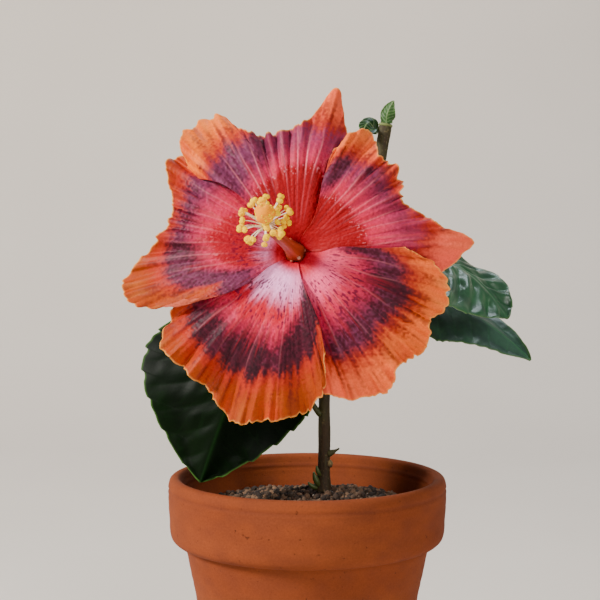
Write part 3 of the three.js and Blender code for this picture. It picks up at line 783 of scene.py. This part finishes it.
def lobed(name, profile, lobes, reach, start, material):
    """A turned cup in the bloom's frame whose lip is drawn out into pointed lobes and cut in between: above
    start the height grows by reach (1 - 2.2 |sin|) of half the lobe angle. The cup below is ribbed."""
    line = evenly(rounded(profile, 1.2), 120)
    sides = lobes * 32
    angle = ring_places(len(line), sides)[0]
    grow = smooth(line[:, 1:2], start, start + 9)
    ribs = 0.18 * np.cos(5 * lobes * angle) * (1 - grow)
    points = turned(line, sides, ribs)
    points[..., 2] += reach * grow * (1 - 2.2 * np.abs(np.sin(lobes * angle / 2)))
    blush = grow * 0.5 + 0.2 * ring_noise(angle, 40, line[:, 1:2], 7)
    tint = blend(SEPAL_GREEN + 0 * points, SEPAL_RED, blush)
    shape = from_bloom(points.reshape(-1, 3))
    return add_mesh(name, shape, ring_faces(len(line), sides), material, tint.reshape(-1, 3))


def make_calyx(green):
    """The calyx of five lobes, and the ring of seven bracts under it."""
    base = CALYX_BASE
    cup = [[0, base], [3.8, base], [7.6, base + 5], [9, base + 13], [10.6, base + 22], [14.2, base + 29],
           [13.4, base + 29.8], [9.6, base + 22.6], [7.8, base + 14.6], [0, base + 13]]
    finished(lobed("calyx", cup, 5, 4, base + 19, green), "green_stalk", "calyx")
    low = base - GAP
    ring = [[0, low - 1.2], [5, low - 1.2], [13.2, low + 7], [12.6, low + 8], [4.7, low], [0, low]]
    finished(lobed("bract_ring", ring, 7, 3, low + 2, green), "green_stalk", "bract_ring")


# ---- the stem ----
STEM = [[8.8, 0, 125.65], [9.4, 0, 152], [9.6, 0, 180], [13.6, 0.3, 212], [22.5, 1, 239.65]]
SHOOT = [[22.5, 1, 240], [36, 3.5, 288], [42.3, 5.5, 323.5]]
LIMB_SIDES = 56
# Foot, bend, tip and width of each bud.
BUDS = [
    ([6.9, -2.2, 128.5], [4.6, -3.2, 131.5], [3.6, -3.4, 136.5], 1.25),
    ([6.4, -1.6, 127.5], [2.6, -2.8, 128.0], [0.6, -3.6, 131.0], 1.0),
    ([7.4, -2.6, 134.5], [5.4, -3.6, 136.5], [5.2, -3.8, 140.0], 0.9),
]

BARK_BROWN = colour("#38280f")
BARK_GREEN = colour("#3d4218")
BARK_PALE = colour("#7a6a42")
COLLAR = colour("#7d8a4c")


def stem_radius(share):
    """3.2 at the foot to 2.8 at the fork, and 1.3 times as wide at the soil."""
    return lerp(3.2, 2.8, share) * (1 + 0.3 * bell(share, 0.07))


def shoot_radius(share):
    """2.9 at the fork to 3.1 at the neck, swollen to 3.4 at the top."""
    return lerp(2.9, 3.1, share) + 0.3 * smooth(share, 0.75, 1)


def limb(name, path, radius, green, material, seed):
    """A woody limb: long ridges, rings at the old leaf scars and pale specks. green is how green its bark
    is along its length. Its path has about two points in each millimetre."""
    angle, share = ring_places(len(path), LIMB_SIDES)
    length = len(path) * 0.5
    ridges = ring_noise(angle, 14, share * length / 9, seed)
    grain = ring_noise(angle, 36, share * length / 3, seed + 1)
    scars = noise(share * length / 12, 0, seed + 2)
    specks = smooth(ring_noise(angle, 30, share * length / 0.9, seed + 3), 0.62, 0.85)
    relief = 0.16 * ridges + 0.1 * grain + 0.14 * scars + 0.1 * specks
    tint = blend(BARK_BROWN + 0 * angle[..., None], BARK_GREEN, green[:, None] + 0.35 * ridges)
    tint = tint * (1 + 0.22 * grain[..., None])
    tint = blend(tint, BARK_PALE, specks * 0.5)
    return add_tube(name, path, radius, LIMB_SIDES, material, tint, relief)


def make_stem(bark):
    """The stem, the shoot over it and the collar at its cut tip. Returns the paths of stem and shoot."""
    stem = evenly(spline(STEM, np.linspace(0, 1, 400)), 250)
    share = np.linspace(0, 1, 250)
    piece = limb("main_stem", stem, stem_radius(share), smooth(share, 0.1, 0.8) * 0.7, bark, 120)
    finished(piece, "bark", "main_stem")

    shoot = evenly(spline(SHOOT, np.linspace(0, 1, 300)), 180)
    share = np.linspace(0, 1, 180)
    piece = limb("upper_shoot", shoot, shoot_radius(share), 0.35 + 0 * share, bark, 130)
    finished(piece, "bark", "upper_shoot")

    end = shoot[-1] + unit(shoot[-1] - shoot[-2]) * np.linspace(-1.3, 0.25, 12)[:, None]
    lip = 3.35 + 0.5 * np.sin(np.linspace(0, pi, 12))
    angle, along = ring_places(12, 40)
    rough = 0.3 * ring_noise(angle, 12, along * 3, 9)
    tint = blend(COLLAR + 0 * angle[..., None], BARK_BROWN, smooth(along, 0.85, 1) + rough)
    finished(add_tube("shoot_collar", end, lip, 40, bark, tint), "bark", "upper_shoot")
    return stem, shoot


def make_scars(bark, green):
    """The stub of an old petiole and the knob of a leaf scar, right of the stem, and buds at its left."""
    share = np.linspace(0, 1, 14)
    stub = bezier([[11.4, -1.2, 146.2], [14.2, -1.8, 147.0], [17.4, -2.2, 149.2]], share)
    width = lerp(2.0, 0.45, smooth(share, 0, 1))
    rind = blend(BARK_BROWN, BARK_GREEN, np.array(0.6))
    finished(add_tube("petiole_stub", stub, width, 20, bark, rind), "bark", "main_stem")
    knob, faces = ball(14, 20)
    swell = knob * [1.7, 1.9, 2.3] * (1 + 0.1 * noise(knob[:, :1] * 3, knob[:, 2:] * 3, 8))
    tint = blend(BARK_PALE + 0 * swell, BARK_BROWN, smooth(-knob[:, 2], -0.2, 0.7))
    finished(add_mesh("scar_knob", swell + [12.2, -1.3, 140.6], faces, bark, tint), "bark", "main_stem")
    for count, (foot, bend, tip, width) in enumerate(BUDS):
        share = np.linspace(0, 1, 18)
        girth = width * (0.35 + np.sin(pi * (0.12 + 0.86 * share)))
        tint = blend(SEPAL_GREEN * 0.45, BARK_BROWN, 0.6 * (1 - share))[:, None, :]
        bud = add_tube(f"bud_{count}", bezier([foot, bend, tip], share), girth, 16, green, tint)
        finished(bud, "bark", "main_stem")


# ---- the leaves ----
# limb and at: the limb that bears the leaf, and where along it. base, bend and tip: the midrib. face: the
# way the upper side looks. half: the width of each half in millimetres. fold: how far each half leans back,
# in degrees. widest: where along its length it is widest. foot: how broad its foot is, as a share of its
# full width, 0 if not given. tone: factors on the red, green and blue of its colours; on the two right
# leaves their height, strongest in blue, also paints in a bluish reflection of the sky. tones: its own dark,
# light and under side. pucker: how much it puckers between its veins. groove: how deep the veins lie, 1 if
# not given. teeth: how many each margin has.
BACK_LEAF = dict(fold=[10, 10], widest=0.4, tone=[1.4, 1.4, 1.4], pucker=0.8)
LEAVES = {
    "leaf_lower_left": dict(
        limb="stem", at=0.36, base=[-19, -15, 222], bend=[-40, -34, 186], tip=[-55.3, -30, 136],
        face=[-0.12, -0.9, 0.42], half=[57, 42], fold=[4, 34], widest=0.42,
        tone=[0.25, 0.3, 0.15], pucker=0.3, groove=0.25, teeth=8,
    ),
    # The right leaves' high tone is their own green plus a painted bluish reflection of the sky.
    "leaf_right_upper": dict(
        limb="stem", at=0.93, base=[46, -8, 246], bend=[80, -18, 263], tip=[104, -26, 221],
        face=[0.06, -0.5, 0.86], half=[50, 32], fold=[-18, 24], widest=0.58,
        tone=[8, 6, 13], pucker=1.5, groove=0.7, teeth=10,
    ),
    "leaf_right_lower": dict(
        limb="stem", at=0.8, base=[50, 3, 229], bend=[86, 3, 234], tip=[118.6, -10, 197.6],
        face=[0.34, -0.66, 0.67], half=[27, 18], fold=[0, 22], widest=0.45,
        tone=[9, 5, 16], pucker=0.25, groove=0.45, teeth=0,
    ),
    "leaf_back_left": dict(
        limb="stem", at=0.62, base=[-3, 27, 214], bend=[-24, 50, 232], tip=[-50, 66, 204],
        face=[-0.35, 0.35, 0.87], half=[27, 27], teeth=10, **BACK_LEAF,
    ),
    "leaf_back_right": dict(
        limb="shoot", at=0.3, base=[41, 28, 262], bend=[54, 48, 276], tip=[66, 72, 252],
        face=[0.25, 0.35, 0.9], half=[25, 25], teeth=10, **BACK_LEAF,
    ),
    "leaf_back_high": dict(
        limb="shoot", at=0.62, base=[21, 20, 292], bend=[6, 34, 302], tip=[-14, 50, 284],
        face=[-0.3, 0.35, 0.9], half=[21, 21], teeth=9, **BACK_LEAF,
    ),
}
YOUNG_LEAVES = {
    "young_leaf_left": dict(
        base=[37.4, 4, 318], bend=[32, 3, 331], tip=[29.4, -4, 316.5], face=[-0.25, -0.75, 0.6],
        half=[5.5, 7], fold=[20, 25], widest=0.45,
        tones=["#0a2607", "#153c0e", "#7d9a9c"], pucker=0.35, teeth=6,
    ),
    "young_leaf_tip": dict(
        foot=0.75, base=[42.6, 6.2, 323.6], bend=[42, 5, 330], tip=[46.6, 5, 336], face=[-0.3, -0.95, 0.1],
        half=[4.6, 4.6], fold=[25, 25], widest=0.4,
        tones=["#284a1c", "#3e6a30", "#5c8a45"], pucker=0.2, teeth=0,
    ),
}
LEAF_DARK = colour("#081a08")
LEAF_GREEN = colour("#10300f")
LEAF_VEIN = colour("#24502c")
LEAF_EDGE = colour("#4f7a34")
LEAF_UNDER = colour("#41603a")
PALE_RIB = colour("#93a877")
PETIOLE_RADIUS = 1.2


def leaf_blade(shape, rows, columns, scale):
    """The blade and where its veins are. v runs along the midrib and s across from margin to margin. Each
    half reaches out by its half width times a pointed outline with saw teeth, and leans back by its fold.
    Side veins leave the midrib at steps of length / 6.5 and bend towards the tip. The blade dips along them
    and puckers up between them. scale is the size of the teeth, puckers and ripples."""
    v, s = np.meshgrid(np.linspace(0, 1, rows), np.linspace(-1, 1, columns), indexing="ij")
    base, bend, tip = (np.array(shape[key], float) for key in ("base", "bend", "tip"))
    length = np.linalg.norm(bend - base) + np.linalg.norm(tip - bend)
    along = unit(lerp(bend - base, tip - bend, v[..., None]))
    side = unit(np.cross(unit(np.array(shape["face"])), along))
    up = np.cross(along, side)
    warp = np.log(0.5) / np.log(shape["widest"])
    outline = np.maximum(0.012, np.sin(pi * v**warp) ** 0.75)
    outline = np.maximum(outline, shape.get("foot", 0) * (1 - smooth(v, 0.2, 0.7)))
    teeth = shape["teeth"]
    saw = ((v * teeth + 0.4) % 1 - 0.5) * 8 / max(teeth, 8) * smooth(v, 0.1, 0.3) * (teeth > 0)
    half, fold = (np.where(s < 0, *shape[key]) for key in ("half", "fold"))
    fray = 0.5 * scale * noise(v * 30, np.sign(s) * 3, 3)
    reach = np.abs(s) * (half * outline + 1.9 * scale * saw + fray)
    lean = np.radians(fold + 6 * scale * noise(v * 3.3, np.sign(s) * 2 + 5, 31))

    spacing = length / 6.5
    phase = (v * length - 0.75 * reach + 0.0035 * reach**2) / spacing + 0.35 * np.sign(s)
    off_vein = np.abs(phase - np.round(phase)) * spacing
    branch = noise(phase * 2.6, reach / (5 * scale + 0.3), 33 + int(length))
    inner = smooth(reach, 1, 7 * scale) * (1 - smooth(np.abs(s), 0.8, 1))
    pucker = shape["pucker"] * (1.2 * np.sin(pi * (phase % 1)) ** 2 + 0.8 * branch - 0.6) * inner
    dips = -0.35 * bell(off_vein, 1.3) * inner - 0.7 * bell(reach, 1.3)
    flutter = 2.2 * np.abs(s) ** 3 * noise(v * 5.5, np.sign(s) * 4, 35 + int(length))
    ripple = flutter + 1.8 * noise(v * 2.5, s * 2, 36)
    groove = shape.get("groove", 1)
    lift = (pucker + dips * groove + ripple * smooth(v, 0, 0.15)) * scale
    middle = bezier([base, bend, tip], v) + side * (np.sign(s) * reach * np.cos(lean))[..., None]
    middle = middle + up * (lift - reach * np.sin(lean))[..., None]
    edge = (1 - np.abs(s)) * half * outline
    side_veins = bell(off_vein, 0.55 * scale + 0.1) * 0.7 * groove
    veins = np.maximum(side_veins, bell(reach, 0.9 * scale) * 0.95)
    veins = np.maximum(veins, 0.25 * bell(branch, 0.07) * inner)
    return middle, veins, edge, v, s


def leaf_tints(dark, light, vein_tint, under, veins, edge, v, s):
    """Upper and under side: a dark green that pales in patches, paler veins, and a thin bright margin."""
    patch = 0.5 + 0.5 * noise(v * 6, s * 5, 41)
    front = blend(dark + 0 * v[..., None], light, patch * 0.6)
    front = blend(front, vein_tint, veins * 0.6)
    front = blend(front, LEAF_EDGE, bell(edge, 0.8) * 0.7)
    back = blend(under + 0 * v[..., None], vein_tint, veins * 0.8)
    return front, back


def add_petiole(name, shape, line, limb_radius, green):
    """The stalk of a leaf, from inside the limb whose path is line to just inside the foot of the blade."""
    axis = line[round(shape["at"] * (len(line) - 1))]
    base, bend = np.array(shape["base"], float), np.array(shape["bend"], float)
    out = unit((base - axis) * [1, 1, 0])
    arrival = unit(bend - base)
    start = axis + out * (limb_radius(shape["at"]) - 0.8)
    end = base + arrival * 1.0
    reach = np.linalg.norm(end - start) / 3
    share = np.linspace(0, 1, 60)
    bends = [start + (0.75 * out + [0, 0, 0.66]) * reach, end - arrival * reach]
    path = evenly(bezier([start, *bends, end], share), 60)
    girth = PETIOLE_RADIUS * (1 + 0.5 * bell(share, 0.09) + 0.25 * bell(share - 1, 0.06))
    tint = blend(BARK_GREEN + np.zeros((60, 1, 3)), SEPAL_GREEN, smooth(share, 0.1, 0.6)[:, None])
    finished(add_tube(name, path, girth, 20, green, tint), "green_stalk", name)


def make_leaves(stem, shoot, green):
    """The broad leaves on their petioles, and the young leaves at the top of the shoot."""
    skin = painted("leaf_skin", 0.45, 700, 0.14, 0.00006, shine=0.05, Specular_IOR_Level=0.05)
    gloss = painted("glossy_leaf_skin", 0.36, 700, 0.14, 0.00006, shine=0.06, Specular_IOR_Level=0.6)
    for name, shape in LEAVES.items():
        tone = np.array(shape["tone"])
        rows, columns = (110, 80) if name.startswith("leaf_back") else (205, 150)
        middle, veins, edge, v, s = leaf_blade(shape, rows, columns, 1.0)
        surface = gloss if name.startswith("leaf_right") else skin
        dark, light, rib = LEAF_DARK * tone, LEAF_GREEN * tone, LEAF_VEIN * np.minimum(tone, 2.2)
        front, back = leaf_tints(dark, light, rib, LEAF_UNDER, veins, edge, v, s)
        finished(add_shell(name, middle, lerp(0.9, 0.5, np.abs(s)), front, back, surface), "leaf", name)
        line, limb_radius = (stem, stem_radius) if shape["limb"] == "stem" else (shoot, shoot_radius)
        add_petiole(name.replace("leaf", "petiole"), shape, line, limb_radius, green)

    young = painted("young_leaf_skin", 0.45, 1200, 0.1, 0.00005, Specular_IOR_Level=0.2)
    for name, shape in YOUNG_LEAVES.items():
        middle, veins, edge, v, s = leaf_blade(shape, 110, 80, 0.22)
        dark, light, under = (colour(code) for code in shape["tones"])
        front, back = leaf_tints(dark, light, PALE_RIB, under, veins, edge * 3, v, s)
        finished(add_shell(name, middle, 0.45, front, back, young), "young_leaf", name)


def make_stalk(stem, green):
    """The stalk from the side of the stem under the fork to the foot of the calyx."""
    at = 0.97
    axis = stem[round(at * (len(stem) - 1))]
    end = from_bloom([0, 0, CALYX_BASE - GAP])
    behind = from_bloom([0, 0, CALYX_BASE - 12])
    out = unit((end - axis) * [1, 1, 0])
    start = axis + out * (stem_radius(at) - 0.6)
    path = evenly(bezier([start, start + out * 9, behind, end], np.linspace(0, 1, 100)), 50)
    share = np.linspace(0, 1, 50)
    girth = lerp(1.7, 1.9, share) + 0.4 * bell(share - 0.45, 0.05)
    finished(add_tube("flower_stalk", path, girth, 24, green, STALK_GREEN), "green_stalk", "flower_stalk")


# ---- the pot and its soil ----
POT_ROWS, POT_SIDES = 380, 210
POT_PROFILE = [
    [0, 0], [44.5, 0], [46.5, 2], [66, 99], [70.5, 99.5], [73.2, 101.7], [74.2, 105.5], [75, 130.5],
    [74.2, 133.3], [72.4, 134.5], [70, 134.5], [68.5, 133.5], [68, 131.5], [41, 11], [38.5, 9], [0, 9],
]
GROOVE_HEIGHT = 128.2
OUTSIDE_SHARE = 0.63
DRAIN_RADIUS, DRAIN_CIRCLE, DRAINS = 4.5, 21.0, 3
SOIL_SIDES = 260
SOIL_LEVEL, MOUND_HEIGHT, MOUND_SPREAD = 115.0, 10.3, 41.0
LUMPS, PERLITE = 2600, 46

CLAY = colour("#7d3a1c")
CLAY_PALE = colour("#984e28")
CLAY_DARK = colour("#643020")
CLAY_INSIDE_DARK = colour("#4e2413")
SOIL_BLACK = colour("#241912")
SOIL_BROWN = colour("#7d5d44")
PERLITE_WHITE = colour("#d9d2c4")


def clay():
    """Fired clay: the piece's tint, washed by two noises, flecked, and pitted by small dark holes."""
    material, nodes, links, shader = new_material("terracotta", 0.85, Specular_IOR_Level=0.15)
    tint = node(nodes, "ShaderNodeAttribute", attribute_name="tint")
    wide = noise_at(nodes, links, 26, 4)
    fine = noise_at(nodes, links, 1100, 3)
    flecks = noise_at(nodes, links, 420, 2)
    wash = curve_of(nodes, links, wide, [(0.3, 0.92), (0.7, 1.06)])
    grain = curve_of(nodes, links, fine, [(0.3, 0.88), (0.7, 1.1)])
    pits = curve_of(nodes, links, flecks, [(0.68, 1.0), (0.76, 0.5)])
    base = multiplied(nodes, links, tint.outputs["Color"], wash)
    base = multiplied(nodes, links, base, grain)
    links.new(multiplied(nodes, links, base, pits), shader.inputs["Base Color"])
    add_bump(nodes, links, shader, [(fine, 0.5, 0.0002), (pits, 0.6, 0.0005)])
    return material


def make_pot():
    """A pot turned from its profile, with a groove round its rim band, faint turning lines and slow
    unevenness, and drain holes cut through its floor. The groove is painted with shade, and the inside is
    darker from just under the lip downwards."""
    line = evenly(rounded(POT_PROFILE, 1.3), POT_ROWS)
    angle = ring_places(POT_ROWS, POT_SIDES)[0]
    radius, height = line[:, 0:1], line[:, 1:2]
    outer = 1.0 * (np.arange(POT_ROWS)[:, None] < OUTSIDE_SHARE * POT_ROWS)
    wall = smooth(radius, 46, 50) * outer
    turning = 0.1 * noise(height / 1.9, 0, 141) + 0.16 * noise(height / 6, 0, 142)
    uneven = 0.25 * ring_noise(angle, 9, height / 30, 143)
    groove = -0.55 * bell(height - GROOVE_HEIGHT, 0.7) + 0.15 * bell(height - 126.6, 0.6)
    points = turned(line, POT_SIDES, (turning + uneven + groove) * wall)
    streak = ring_noise(angle, 60, height / 5, 144)
    cloud = ring_noise(angle, 14, height / 18, 145)
    tint = blend(CLAY + 0 * points, CLAY_PALE, 0.18 + 0.2 * cloud)
    # CLAY_DARK streaks are the clay's own; the band of it in the groove round the rim band is painted shade.
    tint = blend(tint, CLAY_DARK, 0.16 + 0.22 * streak + 0.3 * bell(height - GROOVE_HEIGHT, 0.9) * wall)
    # The inside is darker from just under the lip downwards.
    inside = (1 - outer) * smooth(-height, -133, -122)
    tint = blend(tint, CLAY_INSIDE_DARK, inside * (0.75 + 0.2 * streak))
    material = clay()
    rings = ring_faces(POT_ROWS, POT_SIDES)
    piece = add_mesh("pot", points.reshape(-1, 3), rings, material, tint.reshape(-1, 3))

    drills = []
    for k in range(DRAINS):
        at = 2 * pi * k / DRAINS + pi / 2
        centre = [DRAIN_CIRCLE * cos(at), DRAIN_CIRCLE * sin(at)]
        path = np.array([[*centre, z] for z in np.linspace(-6, 20, 3)])
        drill = add_tube(f"drill_{k}", path, DRAIN_RADIUS + np.zeros(3), 40, material, CLAY_DARK)
        cut = piece.modifiers.new(f"drain_{k}", "BOOLEAN")
        cut.operation = "DIFFERENCE"
        cut.solver = "EXACT"
        cut.object = drill
        drills.append(drill)
    bpy.context.view_layer.update()
    drilled = bpy.data.meshes.new_from_object(piece.evaluated_get(bpy.context.evaluated_depsgraph_get()))
    piece.modifiers.clear()
    piece.data = drilled
    for drill in drills:
        bpy.data.objects.remove(drill)
    finished(piece, "terracotta", "pot")


def soil_height(x, y):
    """The soil's level plus a mound about the stem's foot, which dies away at the pot's wall."""
    away = np.hypot(x - STEM[0][0], y - STEM[0][1])
    return SOIL_LEVEL + MOUND_HEIGHT * bell(away, MOUND_SPREAD) * smooth(66 - np.hypot(x, y), 0, 8)


def make_soil():
    """The body of the soil, its crumbly top, loose lumps and bits of perlite."""
    material = painted("potting_soil", 0.95, 1400, 0.35, 0.0006)
    wall = np.array([[0, 9.4], [38, 9.4], [40.6, 11.4], [63.9, SOIL_LEVEL]])
    top = np.stack([np.linspace(63.6, 0, 120), np.full(120, SOIL_LEVEL)], -1)
    wall_rows = 20
    line = np.concatenate([evenly(wall, wall_rows), top])
    points = turned(line, SOIL_SIDES)
    on_top = (np.arange(len(line)) >= wall_rows)[:, None]
    x, y = points[..., 0], points[..., 1]
    crumbs = 0.9 * noise(x / 3.1, y / 3.1, 151) + 0.5 * noise(x / 1.3 + 50, y / 1.3, 152)
    lift = soil_height(x, y) - SOIL_LEVEL + crumbs * smooth(64 - np.hypot(x, y), 0, 3) - 0.5
    points[..., 2] += np.where(on_top, lift, 0)
    tint = blend(SOIL_BLACK + 0 * points, SOIL_BROWN, 0.4 + 0.6 * noise(x / 2, y / 2, 153))
    rings = ring_faces(len(line), SOIL_SIDES)
    body = add_mesh("soil", points.reshape(-1, 3), rings, material, tint.reshape(-1, 3))
    finished(body, "soil", "soil")

    rng = np.random.default_rng(61)

    def strewn(name, count, low, high, tints):
        """Up to count uneven lumps lying on the soil, low to high millimetres in radius. Those that would
        lie within 6.5 mm of the stem's middle are left out."""
        shape, faces = ball(4, 7)
        shape = shape * (1 + 0.34 * rng.uniform(-1, 1, (len(shape), 1)))
        reach = 61.5 * np.sqrt(rng.uniform(0, 1, count))
        turn = rng.uniform(0, 2 * pi, count)
        x, y = reach * np.cos(turn), reach * np.sin(turn)
        clear = np.hypot(x - STEM[0][0], y) > 6.5
        x, y, count = x[clear], y[clear], clear.sum()
        size = low + (high - low) * rng.uniform(0, 1, count) ** 2.2
        moves = np.stack([x, y, soil_height(x, y) + size * rng.uniform(-0.1, 0.55, count)], -1)
        turns = turns_to(rng.normal(0, 1, (count, 3)))
        sizes = size[:, None] * rng.uniform(0.65, 1.2, (count, 3))
        paint = blend(tints[0] + np.zeros((count, 3)), tints[1], rng.uniform(0, 1, count) ** 2.2)
        lumps = scatter(name, shape, faces, turns * sizes[:, None, :], moves, material, paint)
        finished(lumps, "soil", "soil")

    strewn("soil_lumps", LUMPS, 0.5, 2.2, (SOIL_BLACK, SOIL_BROWN))
    strewn("perlite", PERLITE, 0.5, 1.3, (PERLITE_WHITE, PERLITE_WHITE * 0.7))


# ---- staging ----
FLOOR_HALF, FLOOR_NEAR, FLOOR_LENGTH = 2600, -2200, 4600
BEND_START, BEND_END, BEND_RADIUS = 900, 1800, 573
CAMERA_PLACE, CAMERA_DIP = [-3.8, -760, 273], 3.3


def add_lamp(name, place, aim, size, power, tone):
    """A round soft lamp, all in metres and watts, that looks from place to aim."""
    data = bpy.data.lights.new(name, "AREA")
    data.shape = "DISK"
    data.size = size
    data.energy = power
    data.color = tone
    made = new_object(name, data)
    made.location = Vector(place)
    made.rotation_euler = (Vector(aim) - Vector(place)).to_track_quat("-Z", "Y").to_euler()


def make_stage():
    """A pale floor that rises behind the plant in one curve, three soft lamps, a dim sky and a camera."""
    across, along = np.linspace(-FLOOR_HALF, FLOOR_HALF, 12), np.linspace(0, 1, 60)
    x, s = np.meshgrid(across, along, indexing="ij")
    run = s * FLOOR_LENGTH + FLOOR_NEAR
    bend = np.clip((run - BEND_START) / (BEND_END - BEND_START), 0, 1) * pi / 2
    y = np.where(run < BEND_START, run, BEND_START + BEND_RADIUS * np.sin(bend))
    z = np.where(run < BEND_START, 0, BEND_RADIUS * (1 - np.cos(bend))) + np.maximum(run - BEND_END, 0)
    sweep = np.stack([x, y, z], -1)
    material, nodes, links, shader = new_material("pale_floor", 0.75)
    wash = noise_at(nodes, links, 3, 2)
    paint = curve_of(nodes, links, wash, [(0.3, (0.78, 0.7, 0.62)), (0.7, (0.82, 0.74, 0.66))])
    links.new(paint, shader.inputs["Base Color"])
    floor = add_mesh("floor", sweep.reshape(-1, 3), [grid_faces(12, 60)], material)

    add_lamp("window", (-1.42, -0.64, 1.1), (0, 0, 0.2), 0.45, 58, (1.0, 0.96, 0.9))
    add_lamp("fill", (0.75, -1.35, 0.75), (0, 0, 0.2), 0.8, 13, (1.0, 0.97, 0.94))
    add_lamp("skylight", (0.3, 0.75, 1.7), (0.08, 0, 0.24), 0.9, 14, (0.82, 0.92, 1.0))
    world = bpy.data.worlds.new("studio")
    bpy.context.scene.world = world
    world.use_nodes = True
    world.node_tree.nodes["Background"].inputs["Color"].default_value = (0.92, 0.94, 1.0, 1)
    world.node_tree.nodes["Background"].inputs["Strength"].default_value = 0.18

    data = bpy.data.cameras.new("camera")
    data.lens = 85
    data.sensor_width = 36
    camera = new_object("camera", data)
    camera.location = put(CAMERA_PLACE)
    camera.rotation_euler = (radians(90 - CAMERA_DIP), 0, 0)
    bpy.context.scene.camera = camera


green = painted("green_rind", 0.5, 900, 0.14, 0.00012)
bark = painted("bark", 0.75, 1000, 0.24, 0.0003)
make_petals()
make_column()
make_brush()
make_stigma()
make_calyx(green)
stem_line, shoot_line = make_stem(bark)
make_scars(bark, green)
make_leaves(stem_line, shoot_line, green)
make_stalk(stem_line, green)
make_pot()
make_soil()
make_stage()
